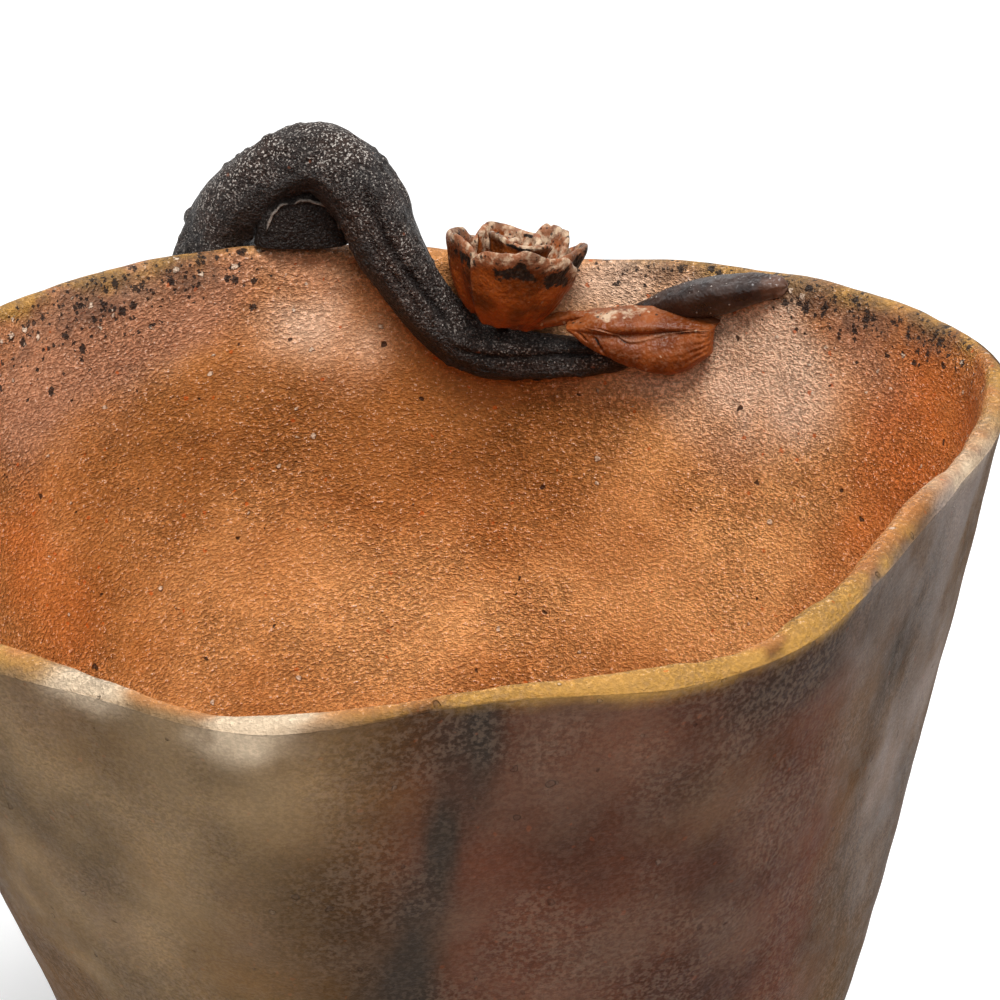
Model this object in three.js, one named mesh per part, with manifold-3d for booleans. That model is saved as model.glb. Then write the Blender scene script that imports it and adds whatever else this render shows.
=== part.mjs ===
// A hand-pinched, wood-fired stoneware cup with a clay branch over its rim, a leaf and a flower.
// Millimetres, +Z up. The origin is the middle of the flat foot that the cup stands on.
// Bearings are in degrees from +X, seen from above. A drop is a depth below the level of the rim.
import * as THREE from 'three';
import { mergeVertices } from 'three/addons/utils/BufferGeometryUtils.js';
import Module from 'manifold-3d';

const wasm = await Module();
wasm.setup();

// Slip between two pieces that were luted together
const SLIP_GAP = 0.3;

// Cup wall and floor
const CUP_HEIGHT = 70;
const RIM_RADIUS = 41;
const FOOT_RADIUS = 19.5;
const FOOT_ROUND = 1.5;
const BELLY_SWELL = 6.4;
const BELLY_RISE = 13.5;
const LIP_DRAW = 4.9;
const LIP_DROP = 27;
const RIM_WALL = 2.6;
const FLOOR_WALL = 3.4;
const FLOOR_THICKNESS = 5;
const FLOOR_ROUND = 6;

// Where fingers moved the rim: bearing and reach in degrees, shift outward and upward
const PINCH_FROM = 20;
const PINCHES = [
  { bearing: 21, reach: 14, out: 2.2, up: 1.1 },
  { bearing: 53, reach: 12, out: 0, up: 0.4 },
  { bearing: 83, reach: 14, out: -1, up: -1.3 },
  { bearing: 125, reach: 16, out: 0, up: 0.4 },
  { bearing: 170, reach: 30, out: 2, up: 0.4 },
  { bearing: 222, reach: 15, out: 1.6, up: -2.1 },
  { bearing: 255, reach: 11, out: 3.2, up: -1.1 },
  { bearing: 276, reach: 12, out: 0, up: 0.95 },
  { bearing: 295, reach: 14, out: 1.5, up: -0.35 },
  { bearing: 336, reach: 21, out: -3.7, up: 2.2 },
];

// Where a thumb pressed the wall in (or out, if negative): bearing, height, reach and depth
const HOLLOWS = [
  { bearing: 105, height: 61, reach: 6, depth: 0.7 },
  { bearing: 128, height: 52, reach: 9, depth: -0.7 },
  { bearing: 88, height: 47, reach: 8, depth: -0.6 },
  { bearing: 55, height: 56, reach: 8, depth: 0.6 },
  { bearing: 196, height: 26, reach: 14, depth: 1.2 },
];

// Branch: a roll pressed against the wall, thick at the root and thin under the leaf
const BRANCH_PRESS = 0.5;
const BARK_RIDGES = 4;
const BARK_DEPTH = 0.1;
const BARK_TWIST = 1.5;
const BRANCH_OUTSIDE = [
  { bearing: 128, drop: 40, diameter: 8.4 },
  { bearing: 121.5, drop: 31, diameter: 7.6 },
  { bearing: 120.5, drop: 16, diameter: 7 },
  { bearing: 114.7, drop: 1.5, diameter: 6.4 },
];
const ARCH_DIAMETER = 6.2;
const ARCH_RISE = 4.1;
const ARCH_SHOULDERS = [
  { along: 0.2, rise: 0.58 },
  { along: 0.58, rise: 1 },
  { along: 0.84, rise: 0.67 },
];
const BRANCH_INSIDE = [
  { bearing: 96.8, drop: -0.6, diameter: 5.5 },
  { bearing: 91.9, drop: 3.7, diameter: 4.8 },
  { bearing: 88.3, drop: 5.6, diameter: 4.5 },
  { bearing: 84.6, drop: 6.5, diameter: 4.3 },
  { bearing: 76.7, drop: 6.8, diameter: 3.8 },
  { bearing: 68.9, drop: 6.7, diameter: 3.1 },
  { bearing: 64.5, drop: 5.5, diameter: 2.4 },
];

// Pad: a half-moon of clay pressed into the arch, full above its base line and nearly flat below it
const PAD_LENGTH = 6.4;
const PAD_DEPTH = 2.6;
const PAD_FORWARD = 1.1;
const PAD_CLEAR = 0.9;
const PAD_RISE = 3.5;
const PAD_SINK = 0.3;
const PAD_FLATNESS = 0.4;
const PAD_TURN = -12;

// Twig tip: a spindle on the inner wall
const TWIG_PRESS = 0.4;
const TWIG = [
  { bearing: 66, drop: 3.6, diameter: 1.3 },
  { bearing: 61.5, drop: 2.7, diameter: 2.4 },
  { bearing: 56.5, drop: 1.8, diameter: 3.1 },
  { bearing: 51.5, drop: 0.85, diameter: 2.35 },
  { bearing: 48.9, drop: 0.55, diameter: 1.7 },
];

// Leaf: a folded blade with a midrib groove, over the end of the branch
const LEAF_BEARING = 74;
const LEAF_LENGTH = 12.1;
const LEAF_DROP = 3.5;
const LEAF_END_DROP = 4.3;
const LEAF_SAG = 0.4;
const LEAF_STALK_HALF = 0.8;
const LEAF_UPPER = { tipHalf: 0.4, swell: 1, skew: 0.95, lean: 0.9 };
const LEAF_LOWER = { tipHalf: 1.9, swell: 1.9, skew: 1.85, lean: 0.3 };
const LEAF_THICKNESS = 1.5;
const LEAF_STANDOFF = 4.6;
const LEAF_END_STANDOFF = 2.2;
const LEAF_BULGE = 0.75;
const LEAF_STEP_DOWN = { from: 0.2, to: 0.9 };
const MIDRIB_GROOVE = 0.3;

// Stalk: a thin roll from the flower to the leaf
const STALK_STANDOFF = 3.4;
const STALK_FROM = { bearing: 79.8, drop: 4.2, diameter: 1.7 };
const STALK_TO = { bearing: 71.5, drop: 2.9, diameter: 1.1 };

// Flower: petals in a bowl round a pellet, leaning back over the rim and tilted to the right
const FLOWER_BEARING = 83.3;
const FLOWER_DROP = 3.7;
const FLOWER_STANDOFF = 4;
const FLOWER_LEAN = 9;
const FLOWER_TILT = 10;
const PELLET_RADIUS = 1.2;
const PELLET_HEIGHT = 3.4;
const PELLET_DROP = 1;
const BOWL_START = 1.4;
const BOWL_BELLY = { radius: 3.2, height: 2.4 };
const BOWL_SHOULDER = { radius: 4, height: 4 };
const BOWL_RADIUS = 4.4;
const BOWL_HEIGHT = 8;
const PETAL_THICKNESS = 0.8;
const INNER_THICKNESS = 0.6;
const INNER_SPREAD = 0.5;
const LIP_FLARE = 0.25;
const LIP_CURL = 4;
const LAYER_CHANGE = { from: 0.36, to: 0.64 };
const HEART_RADIUS = 0.6;
const HEART_FOOT_RADIUS = 0.5;
const HEART_HEIGHT = 3.8;

// Petals: edges in degrees from the front round by the right, the layer of each edge (0 lies inside 1),
// how far the lip drops at even steps from one edge to the other, and how far the petal opens
const OUTER_PETALS = [
  {
    name: 'petal_front', from: -32, to: 86, layers: [1, 1], opening: 0.2,
    lip: [1.4, 0.5, 0.4, 0.3, 0.6, 0.45, 0.9, 2.2],
  },
  { name: 'petal_right', from: 60, to: 128, layers: [0, 1], opening: 0.3, lip: [1, 0.3, 0, 0.3, 0.8] },
  { name: 'petal_back_right', from: 104, to: 175, layers: [0, 0], opening: 0.25, lip: [1, 0.1, 0, 0.3, 1] },
  { name: 'petal_back_left', from: 184, to: 240, layers: [0, 0], opening: 0.2, lip: [1.3, 0.7, 0.8, 1.4] },
  {
    name: 'petal_left', from: 216, to: 334, layers: [1, 0], opening: 0.1,
    lip: [1.6, 1.2, 1, 1, 1.1, 1.5],
  },
];
const INNER_PETALS = [
  {
    name: 'petal_inner_front', from: -110, to: 95, layers: [0, 1], opening: 0,
    lip: [1.4, 0.8, 0.6, 0.9, 0.7, 1.4],
  },
  { name: 'petal_inner_back', from: 70, to: 275, layers: [0, 1], opening: 0, lip: [1.4, 0.7, 0.9, 0.6, 1.4] },
];

// Facets
const CUP_SIDES = 60;
const WALL_STEPS = 9;
const ROUND_STEPS = 3;
const LIP_STEPS = 4;
const ROLL_SIDES = 16;
const ROLL_STEPS_PER_STATION = 5;
const THIN_SIDES = 10;
const PAD_SIDES = 24;
const PETAL_ACROSS = 10;
const PETAL_ALONG = 7;
const LEAF_ACROSS = 12;
const LEAF_ALONG = 14;
const MERGE_DISTANCE = 1e-4;

const { degToRad, radToDeg, euclideanModulo, lerp, smoothstep } = THREE.MathUtils;
const HALF_TURN = 180;

// Shape of the cup's wall

const wallLine = new THREE.CubicBezierCurve(
  new THREE.Vector2(FOOT_RADIUS, 0),
  new THREE.Vector2(FOOT_RADIUS + BELLY_SWELL, BELLY_RISE),
  new THREE.Vector2(RIM_RADIUS - LIP_DRAW, CUP_HEIGHT - LIP_DROP),
  new THREE.Vector2(RIM_RADIUS, CUP_HEIGHT),
);

function outerRadius(height) {
  let low = 0;
  let high = 1;
  while (high - low > Number.EPSILON) {
    const middle = (low + high) / 2;
    if (wallLine.getPoint(middle).y < height) {
      low = middle;
    } else {
      high = middle;
    }
  }
  return wallLine.getPoint(low).x;
}

function innerRadius(height) {
  return outerRadius(height) - lerp(FLOOR_WALL, RIM_WALL, Math.min(height / CUP_HEIGHT, 1));
}

// The turn from one bearing to another, from -180 to 180 degrees
function turnBetween(bearing, other) {
  return euclideanModulo(bearing - other + HALF_TURN, 2 * HALF_TURN) - HALF_TURN;
}

// A bell curve: 1 at no distance, 0.61 at a distance of 1
function bell(distance) {
  return Math.exp(-(distance ** 2) / 2);
}

// Moves a point of the thrown shape to where the pinching fingers left it
function pinched(point) {
  const bearing = radToDeg(Math.atan2(point.y, point.x));
  const share = smoothstep(point.z, PINCH_FROM, CUP_HEIGHT);
  const radius = Math.hypot(point.x, point.y);
  let out = 0;
  let up = 0;
  for (const pinch of PINCHES) {
    const away = turnBetween(bearing, pinch.bearing);
    const strength = share * bell(away / pinch.reach);
    out += strength * pinch.out;
    up += strength * pinch.up;
  }
  for (const hollow of HOLLOWS) {
    const away = degToRad(turnBetween(bearing, hollow.bearing)) * radius;
    const distance = Math.hypot(away, point.z - hollow.height) / hollow.reach;
    out -= hollow.depth * bell(distance);
  }
  const stretch = radius > 0 ? (radius + out) / radius : 1;
  return new THREE.Vector3(point.x * stretch, point.y * stretch, point.z + up);
}

function polar(bearing, radius, height) {
  const angle = degToRad(bearing);
  return new THREE.Vector3(radius * Math.cos(angle), radius * Math.sin(angle), height);
}

// A point off the inner wall, toward the cup's axis
function insideWall(bearing, drop, standoff) {
  const height = CUP_HEIGHT - drop;
  return pinched(polar(bearing, innerRadius(height) - standoff, height));
}

// A point off the outer wall
function outsideWall(bearing, drop, standoff) {
  const height = CUP_HEIGHT - drop;
  return pinched(polar(bearing, outerRadius(height) + standoff, height));
}

// Solids from geometries, and back

function solidOf(geometry) {
  const bare = geometry.clone();
  bare.deleteAttribute('normal');
  bare.deleteAttribute('uv');
  const merged = mergeVertices(bare, MERGE_DISTANCE);
  const corners = merged.index.array;
  const kept = [];
  for (let i = 0; i < corners.length; i += 3) {
    const [a, b, c] = corners.slice(i, i + 3);
    if (a !== b && b !== c && c !== a) {
      kept.push(a, b, c);
    }
  }
  const mesh = new wasm.Mesh({
    numProp: 3,
    vertProperties: new Float32Array(merged.attributes.position.array),
    triVerts: new Uint32Array(kept),
  });
  return new wasm.Manifold(mesh);
}

function geometryOf(solid) {
  const { vertProperties, triVerts } = solid.getMesh();
  const geometry = new THREE.BufferGeometry();
  geometry.setAttribute('position', new THREE.BufferAttribute(vertProperties, 3));
  geometry.setIndex(new THREE.BufferAttribute(triVerts, 1));
  geometry.computeVertexNormals();
  return geometry;
}

function cut(piece, tools) {
  return tools.reduce((rest, tool) => rest.subtract(tool), piece);
}

function indexed(points, corners) {
  const geometry = new THREE.BufferGeometry().setFromPoints(points);
  geometry.setIndex(corners);
  return geometry;
}

// A closed skin through rings of points, with a fan over each end ring
function loft(rings) {
  const sides = rings[0].length;
  const points = rings.flat();
  const corners = [];
  for (let ring = 0; ring < rings.length - 1; ring += 1) {
    for (let side = 0; side < sides; side += 1) {
      const a = ring * sides + side;
      const b = ring * sides + ((side + 1) % sides);
      corners.push(a, b, a + sides, b, b + sides, a + sides);
    }
  }
  const last = (rings.length - 1) * sides;
  const start = points.length;
  const middle = (ring) => ring.reduce((sum, p) => sum.add(p), new THREE.Vector3()).divideScalar(sides);
  points.push(middle(rings[0]), middle(rings.at(-1)));
  for (let side = 0; side < sides; side += 1) {
    const next = (side + 1) % sides;
    corners.push(start, next, side, start + 1, last + side, last + next);
  }
  return indexed(points, corners);
}

// A closed slab between a front and a back surface over the same unit square
function slab(front, back, across, along) {
  const points = [];
  for (const surface of [front, back]) {
    for (let j = 0; j <= along; j += 1) {
      for (let i = 0; i <= across; i += 1) {
        points.push(surface(i / across, j / along));
      }
    }
  }
  const at = (layer, i, j) => (layer * (along + 1) + j) * (across + 1) + i;
  const corners = [];
  const quad = (a, b, c, d) => corners.push(a, b, c, a, c, d);
  for (let j = 0; j < along; j += 1) {
    for (let i = 0; i < across; i += 1) {
      quad(at(0, i, j), at(0, i + 1, j), at(0, i + 1, j + 1), at(0, i, j + 1));
      quad(at(1, i, j), at(1, i, j + 1), at(1, i + 1, j + 1), at(1, i + 1, j));
    }
    quad(at(0, 0, j), at(0, 0, j + 1), at(1, 0, j + 1), at(1, 0, j));
    quad(at(0, across, j), at(1, across, j), at(1, across, j + 1), at(0, across, j + 1));
  }
  for (let i = 0; i < across; i += 1) {
    quad(at(0, i, 0), at(1, i, 0), at(1, i + 1, 0), at(0, i + 1, 0));
    quad(at(0, i, along), at(0, i + 1, along), at(1, i + 1, along), at(1, i, along));
  }
  return indexed(points, corners);
}

// A roll of clay: a tapering round section swept along stations, with rounded ends
function roll(stations, { sides, grow = 0, ridges = 0, depth = 0, twist = 0 }) {
  const line = new THREE.CatmullRomCurve3(stations.map((station) => station.point));
  const taper = new THREE.SplineCurve(stations.map((station, i) => new THREE.Vector2(i, station.diameter)));
  const steps = (stations.length - 1) * ROLL_STEPS_PER_STATION;
  const rings = [];
  let side = new THREE.Vector3(0, 0, 1);
  for (let step = 0; step <= steps; step += 1) {
    const share = step / steps;
    const middle = line.getPoint(share);
    const ahead = line.getTangent(share);
    side = side.clone().addScaledVector(ahead, -side.dot(ahead)).normalize();
    const other = new THREE.Vector3().crossVectors(ahead, side);
    const radius = taper.getPoint(share).y / 2 + grow;
    const section = [];
    for (let i = 0; i < sides; i += 1) {
      const angle = (2 * Math.PI * i) / sides;
      const bark = depth * Math.cos(ridges * (angle + 2 * Math.PI * twist * share));
      const point = middle.clone().addScaledVector(side, (radius + bark) * Math.cos(angle));
      section.push(point.addScaledVector(other, (radius + bark) * Math.sin(angle)));
    }
    rings.push(section);
  }
  return loft([...roundedEnd(rings[0], line.getTangent(0), -1), ...rings,
    ...roundedEnd(rings.at(-1), line.getTangent(1), 1)]);
}

// Shrinking rings that round off the end of a roll, in the order in which the roll runs
function roundedEnd(ring, ahead, way) {
  const middle = ring.reduce((sum, p) => sum.add(p), new THREE.Vector3()).divideScalar(ring.length);
  const radius = ring[0].distanceTo(middle);
  const rings = [];
  for (let step = 1; step <= ROUND_STEPS; step += 1) {
    const angle = (0.5 * Math.PI * step) / (ROUND_STEPS + 0.5);
    const centre = middle.clone().addScaledVector(ahead, way * radius * Math.sin(angle));
    rings.push(ring.map((p) => p.clone().sub(middle).multiplyScalar(Math.cos(angle)).add(centre)));
  }
  return way < 0 ? rings.reverse() : rings;
}

// Cup body

function cupProfile(grow) {
  const lipRadius = RIM_WALL / 2;
  const lipHeight = CUP_HEIGHT - lipRadius;
  const lipMiddle = RIM_RADIUS - lipRadius;
  const floorTop = FLOOR_THICKNESS + FLOOR_ROUND;
  const floorMiddle = innerRadius(floorTop) - FLOOR_ROUND;
  const profile = [new THREE.Vector2(0, -grow)];
  for (let step = 0; step < ROUND_STEPS; step += 1) {
    const angle = (0.5 * Math.PI * step) / ROUND_STEPS;
    const inset = FOOT_ROUND * (1 - Math.sin(angle));
    const height = FOOT_ROUND * (1 - Math.cos(angle));
    profile.push(new THREE.Vector2(outerRadius(height) - inset + grow, height - grow));
  }
  for (let step = 0; step <= WALL_STEPS; step += 1) {
    const height = lerp(FOOT_ROUND, lipHeight, step / WALL_STEPS);
    profile.push(new THREE.Vector2(outerRadius(height) + grow, height));
  }
  for (let step = 1; step <= LIP_STEPS; step += 1) {
    const angle = (Math.PI * step) / (LIP_STEPS + 1);
    const reach = lipRadius + grow;
    profile.push(new THREE.Vector2(lipMiddle + reach * Math.cos(angle), lipHeight + reach * Math.sin(angle)));
  }
  for (let step = 0; step <= WALL_STEPS; step += 1) {
    const height = lerp(lipHeight, floorTop, step / WALL_STEPS);
    profile.push(new THREE.Vector2(innerRadius(height) - grow, height));
  }
  for (let step = 1; step <= ROUND_STEPS; step += 1) {
    const angle = (0.5 * Math.PI * step) / ROUND_STEPS;
    const reach = FLOOR_ROUND - grow;
    const radius = floorMiddle + reach * Math.cos(angle);
    profile.push(new THREE.Vector2(radius, floorTop - reach * Math.sin(angle)));
  }
  profile.push(new THREE.Vector2(0, FLOOR_THICKNESS + grow));
  return profile;
}

function cup(grow) {
  const geometry = new THREE.LatheGeometry(cupProfile(grow), CUP_SIDES);
  geometry.rotateX(Math.PI / 2);
  const places = geometry.attributes.position;
  const point = new THREE.Vector3();
  for (let i = 0; i < places.count; i += 1) {
    const moved = pinched(point.fromBufferAttribute(places, i));
    places.setXYZ(i, moved.x, moved.y, moved.z);
  }
  return solidOf(geometry);
}

// Branch, pad and twig

function branchStations() {
  const seated = (diameter) => diameter / 2 - BRANCH_PRESS;
  const outside = BRANCH_OUTSIDE.map(({ bearing, drop, diameter }) => (
    { point: outsideWall(bearing, drop, seated(diameter)), diameter }
  ));
  const inside = BRANCH_INSIDE.map(({ bearing, drop, diameter }) => (
    { point: insideWall(bearing, drop, seated(diameter)), diameter }
  ));
  const from = outside.at(-1).point;
  const to = inside[0].point;
  const top = CUP_HEIGHT + ARCH_RISE + ARCH_DIAMETER / 2;
  const arch = ARCH_SHOULDERS.map(({ along, rise }) => {
    const point = from.clone().lerp(to, along);
    point.z = lerp(point.z, top, rise);
    return { point, diameter: ARCH_DIAMETER };
  });
  return { stations: [...outside, ...arch, ...inside], from, to };
}

function branch(grow) {
  const bark = { ridges: BARK_RIDGES, depth: BARK_DEPTH, twist: BARK_TWIST };
  return solidOf(roll(branchStations().stations, { sides: ROLL_SIDES, grow, ...bark }));
}

function archPad() {
  const { from, to } = branchStations();
  const middle = from.clone().lerp(to, 0.5);
  const bearing = radToDeg(Math.atan2(middle.y, middle.x));
  const seat = pinched(polar(bearing, RIM_RADIUS - RIM_WALL / 2, CUP_HEIGHT + PAD_CLEAR));
  const moon = new THREE.SphereGeometry(1, PAD_SIDES, PAD_SIDES / 2);
  const places = moon.attributes.position;
  for (let i = 0; i < places.count; i += 1) {
    const reach = Math.hypot(places.getX(i), places.getZ(i));
    const fuller = reach > MERGE_DISTANCE ? reach ** PAD_FLATNESS / reach : 0;
    const across = places.getX(i) * fuller * (PAD_LENGTH / 2);
    const away = places.getY(i) * (PAD_DEPTH / 2) - PAD_FORWARD;
    const lift = places.getZ(i) * fuller;
    places.setXYZ(i, across, away, lift * (lift > 0 ? PAD_RISE : PAD_SINK));
  }
  moon.rotateZ(degToRad(bearing - HALF_TURN / 2 + PAD_TURN));
  moon.translate(seat.x, seat.y, seat.z);
  return solidOf(moon);
}

function twig(grow) {
  const stations = TWIG.map(({ bearing, drop, diameter }) => (
    { point: insideWall(bearing, drop, diameter / 2 - TWIG_PRESS), diameter }
  ));
  return solidOf(roll(stations, { sides: ROLL_SIDES, grow }));
}

// Leaf and stalk

// A point of the leaf: along from stalk to tip, across from lower to upper edge, back below the face
function leafPoint(along, across, back) {
  const bearing = LEAF_BEARING - radToDeg((along * LEAF_LENGTH) / innerRadius(CUP_HEIGHT - LEAF_DROP));
  const side = 2 * across - 1;
  const lobe = side > 0 ? LEAF_UPPER : LEAF_LOWER;
  const plump = Math.sin(Math.PI * along ** lobe.skew);
  const half = lerp(LEAF_STALK_HALF, lobe.tipHalf, along) + lobe.swell * plump;
  const midrib = lerp(LEAF_DROP, LEAF_END_DROP, along) + LEAF_SAG * Math.sin(Math.PI * along);
  const groove = side === 0 ? MIDRIB_GROOVE : 0;
  const rise = LEAF_BULGE * plump * Math.sin(Math.PI * Math.abs(side)) - groove;
  const step = smoothstep(along, LEAF_STEP_DOWN.from, LEAF_STEP_DOWN.to);
  const standoff = lerp(LEAF_STANDOFF, LEAF_END_STANDOFF, step) + rise - lobe.lean * side ** 2;
  return insideWall(bearing, midrib - side * half, standoff - back);
}

function leaf() {
  const face = (across, along) => leafPoint(along, across, 0);
  const back = (across, along) => leafPoint(along, across, LEAF_THICKNESS);
  return solidOf(slab(back, face, LEAF_ACROSS, LEAF_ALONG));
}

function stalk(grow) {
  const stations = [0, 0.5, 1].map((share) => ({
    point: insideWall(
      lerp(STALK_FROM.bearing, STALK_TO.bearing, share),
      lerp(STALK_FROM.drop, STALK_TO.drop, share),
      STALK_STANDOFF,
    ),
    diameter: lerp(STALK_FROM.diameter, STALK_TO.diameter, share),
  }));
  return solidOf(roll(stations, { sides: THIN_SIDES, grow }));
}

// Flower

// The flower's own frame: x to the right, y away from the cup's axis, z along the leaning flower
function flowerFrame() {
  const outward = polar(FLOWER_BEARING, 1, 0);
  const level = new THREE.Vector3().crossVectors(outward, new THREE.Vector3(0, 0, 1));
  const upward = new THREE.Vector3(0, 0, 1).applyAxisAngle(level, -degToRad(FLOWER_LEAN));
  const away = new THREE.Vector3().crossVectors(upward, level);
  upward.applyAxisAngle(away, degToRad(FLOWER_TILT));
  const right = new THREE.Vector3().crossVectors(away, upward);
  const seat = insideWall(FLOWER_BEARING, FLOWER_DROP, FLOWER_STANDOFF);
  return new THREE.Matrix4().makeBasis(right, away, upward).setPosition(seat);
}

const flowerPlace = flowerFrame();

const bowlLine = new THREE.CubicBezierCurve(
  new THREE.Vector2(PELLET_RADIUS + SLIP_GAP, BOWL_START),
  new THREE.Vector2(BOWL_BELLY.radius, BOWL_BELLY.height),
  new THREE.Vector2(BOWL_SHOULDER.radius, BOWL_SHOULDER.height),
  new THREE.Vector2(BOWL_RADIUS, BOWL_HEIGHT),
);
const innerRing = HEART_RADIUS + SLIP_GAP + INNER_THICKNESS;
const innerLine = new THREE.LineCurve(
  new THREE.Vector2(innerRing, PELLET_HEIGHT),
  new THREE.Vector2(innerRing + INNER_SPREAD, BOWL_HEIGHT),
);

// Values at even steps from place 0 to place 1, joined by level steps
function eased(values, place) {
  const run = place * (values.length - 1);
  const step = Math.min(Math.floor(run), values.length - 2);
  return lerp(values[step], values[step + 1], smoothstep(run - step, 0, 1));
}

// A petal as a stretch of the bowl: its edges lie in the layers that let it overlap its neighbours
function petal(line, thickness, { from, to, layers, opening, lip }) {
  const pitch = thickness + SLIP_GAP;
  const surface = (depth) => (across, along) => {
    const share = along * (1 - eased(lip, across) / BOWL_HEIGHT);
    const spot = line.getPoint(share);
    const ahead = line.getTangent(share);
    const layer = lerp(layers[0], layers[1], smoothstep(across, LAYER_CHANGE.from, LAYER_CHANGE.to));
    const flare = LIP_FLARE + opening * Math.sin(Math.PI * across);
    const offset = pitch * layer + flare * share ** LIP_CURL - depth;
    const radius = spot.x + ahead.y * offset;
    const height = spot.y - ahead.x * offset;
    const angle = degToRad(lerp(from, to, across));
    const point = new THREE.Vector3(radius * Math.sin(angle), -radius * Math.cos(angle), height);
    return point.applyMatrix4(flowerPlace);
  };
  return solidOf(slab(surface(0), surface(thickness), PETAL_ACROSS, PETAL_ALONG));
}

// The point of the branch's middle line that has a given bearing, inside the cup
function branchMiddle(bearing) {
  const next = BRANCH_INSIDE.findIndex((station) => station.bearing < bearing);
  const [before, after] = [BRANCH_INSIDE[next - 1], BRANCH_INSIDE[next]];
  const share = (before.bearing - bearing) / (before.bearing - after.bearing);
  const diameter = lerp(before.diameter, after.diameter, share);
  return insideWall(bearing, lerp(before.drop, after.drop, share), diameter / 2 - BRANCH_PRESS);
}

// The pellet that the petals are pressed on, and the stub of clay that fixes it to the branch
function flowerBase(grow) {
  const radius = PELLET_RADIUS + grow;
  const top = PELLET_HEIGHT - SLIP_GAP + grow;
  const profile = [];
  for (let step = 0; step <= ROUND_STEPS; step += 1) {
    const angle = (0.5 * Math.PI * step) / ROUND_STEPS;
    profile.push(new THREE.Vector2(radius * Math.sin(angle), -(PELLET_DROP + grow) * Math.cos(angle)));
  }
  profile.push(new THREE.Vector2(radius, top), new THREE.Vector2(0, top));
  const pellet = new THREE.LatheGeometry(profile, ROLL_SIDES);
  pellet.rotateX(Math.PI / 2);
  pellet.applyMatrix4(flowerPlace);
  const heart = new THREE.Vector3(0, 0, PELLET_RADIUS).applyMatrix4(flowerPlace);
  const ends = [heart, branchMiddle(FLOWER_BEARING)];
  const stub = ends.map((point) => ({ point, diameter: 2 * PELLET_RADIUS }));
  return solidOf(pellet).add(solidOf(roll(stub, { sides: ROLL_SIDES, grow })));
}

function flowerHeart() {
  const heart = new THREE.CylinderGeometry(HEART_RADIUS, HEART_FOOT_RADIUS, HEART_HEIGHT, THIN_SIDES);
  heart.rotateX(Math.PI / 2);
  heart.translate(0, 0, PELLET_HEIGHT + HEART_HEIGHT / 2);
  heart.applyMatrix4(flowerPlace);
  return solidOf(heart);
}

// Assembly: each later piece is cut to its seat on the earlier ones

const clay = {
  body: { color: 0xa56b3d, roughness: 0.85 },
  dark: { color: 0x3b2e2a, roughness: 0.8 },
  flower: { color: 0x8a4a22, roughness: 0.75 },
};
const cupSpace = cup(SLIP_GAP);
const branchSpace = branch(SLIP_GAP);
const twigSpace = twig(SLIP_GAP);
const stalkSpace = stalk(SLIP_GAP);
const pelletSpace = flowerBase(SLIP_GAP);
const bowlNeighbours = [cupSpace, branchSpace, stalkSpace, pelletSpace];
const pieces = [
  ['cup_body', cup(0), clay.body],
  ['branch', cut(branch(0), [cupSpace]), clay.dark],
  ['arch_pad', cut(archPad(), [cupSpace, branchSpace]), clay.dark],
  ['twig_tip', cut(twig(0), [cupSpace, branchSpace]), clay.dark],
  ['leaf_stalk', cut(stalk(0), [cupSpace, branchSpace, pelletSpace]), clay.flower],
  ['leaf', cut(leaf(), [cupSpace, branchSpace, twigSpace, stalkSpace]), clay.flower],
  ['flower_base', cut(flowerBase(0), [cupSpace, branchSpace]), clay.flower],
  ['flower_heart', flowerHeart(), clay.flower],
  ...OUTER_PETALS.map((shape) => (
    [shape.name, cut(petal(bowlLine, PETAL_THICKNESS, shape), bowlNeighbours), clay.flower]
  )),
  ...INNER_PETALS.map((shape) => [shape.name, petal(innerLine, INNER_THICKNESS, shape), clay.flower]),
];

const assembly = new THREE.Group();
for (const [name, solid, { color, roughness }] of pieces) {
  const material = new THREE.MeshStandardMaterial({ color, roughness, metalness: 0 });
  const mesh = new THREE.Mesh(geometryOf(solid), material);
  mesh.name = name;
  assembly.add(mesh);
}

export default assembly;
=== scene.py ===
"""A hand-pinched, wood-fired stoneware cup with a clay branch over its rim, a leaf and a flower.

Sizes are in millimetres and angles in degrees, and meshes are written in metres. +Z is up and the origin is
the middle of the foot. Bearings run from +X, seen from above. A drop is a depth below the level of the rim.
"""
import functools
import itertools
import logging
import math
from collections.abc import Callable, Mapping
from dataclasses import dataclass
from enum import Enum

import bpy
import numpy as np
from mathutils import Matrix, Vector


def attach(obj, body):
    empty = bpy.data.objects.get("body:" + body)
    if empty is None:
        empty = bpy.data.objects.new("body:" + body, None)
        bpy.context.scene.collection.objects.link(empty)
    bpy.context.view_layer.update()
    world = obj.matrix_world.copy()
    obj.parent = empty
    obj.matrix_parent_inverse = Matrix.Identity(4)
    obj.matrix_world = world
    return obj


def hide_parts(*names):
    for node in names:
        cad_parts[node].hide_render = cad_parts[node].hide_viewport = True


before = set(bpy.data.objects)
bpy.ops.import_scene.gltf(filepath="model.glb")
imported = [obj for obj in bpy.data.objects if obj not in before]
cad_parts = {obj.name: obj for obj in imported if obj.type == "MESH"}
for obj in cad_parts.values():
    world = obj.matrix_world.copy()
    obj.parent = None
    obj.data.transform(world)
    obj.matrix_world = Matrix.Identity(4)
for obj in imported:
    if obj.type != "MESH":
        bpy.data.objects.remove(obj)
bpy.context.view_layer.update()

ROOT = "root"
MM = 0.001
PER_METRE = 1000.0
# Turns places off the axes, so that lattice noise shows no square grain.
OBLIQUE = np.array([[0.8, 0.48, 0.36], [-0.6, 0.64, 0.48], [0.0, -0.6, 0.8]])
# From the cup toward the camera.
FRONT = np.array([0.0, -0.91, 0.41])
UP = np.array([0.0, 0.0, 1.0])
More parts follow.
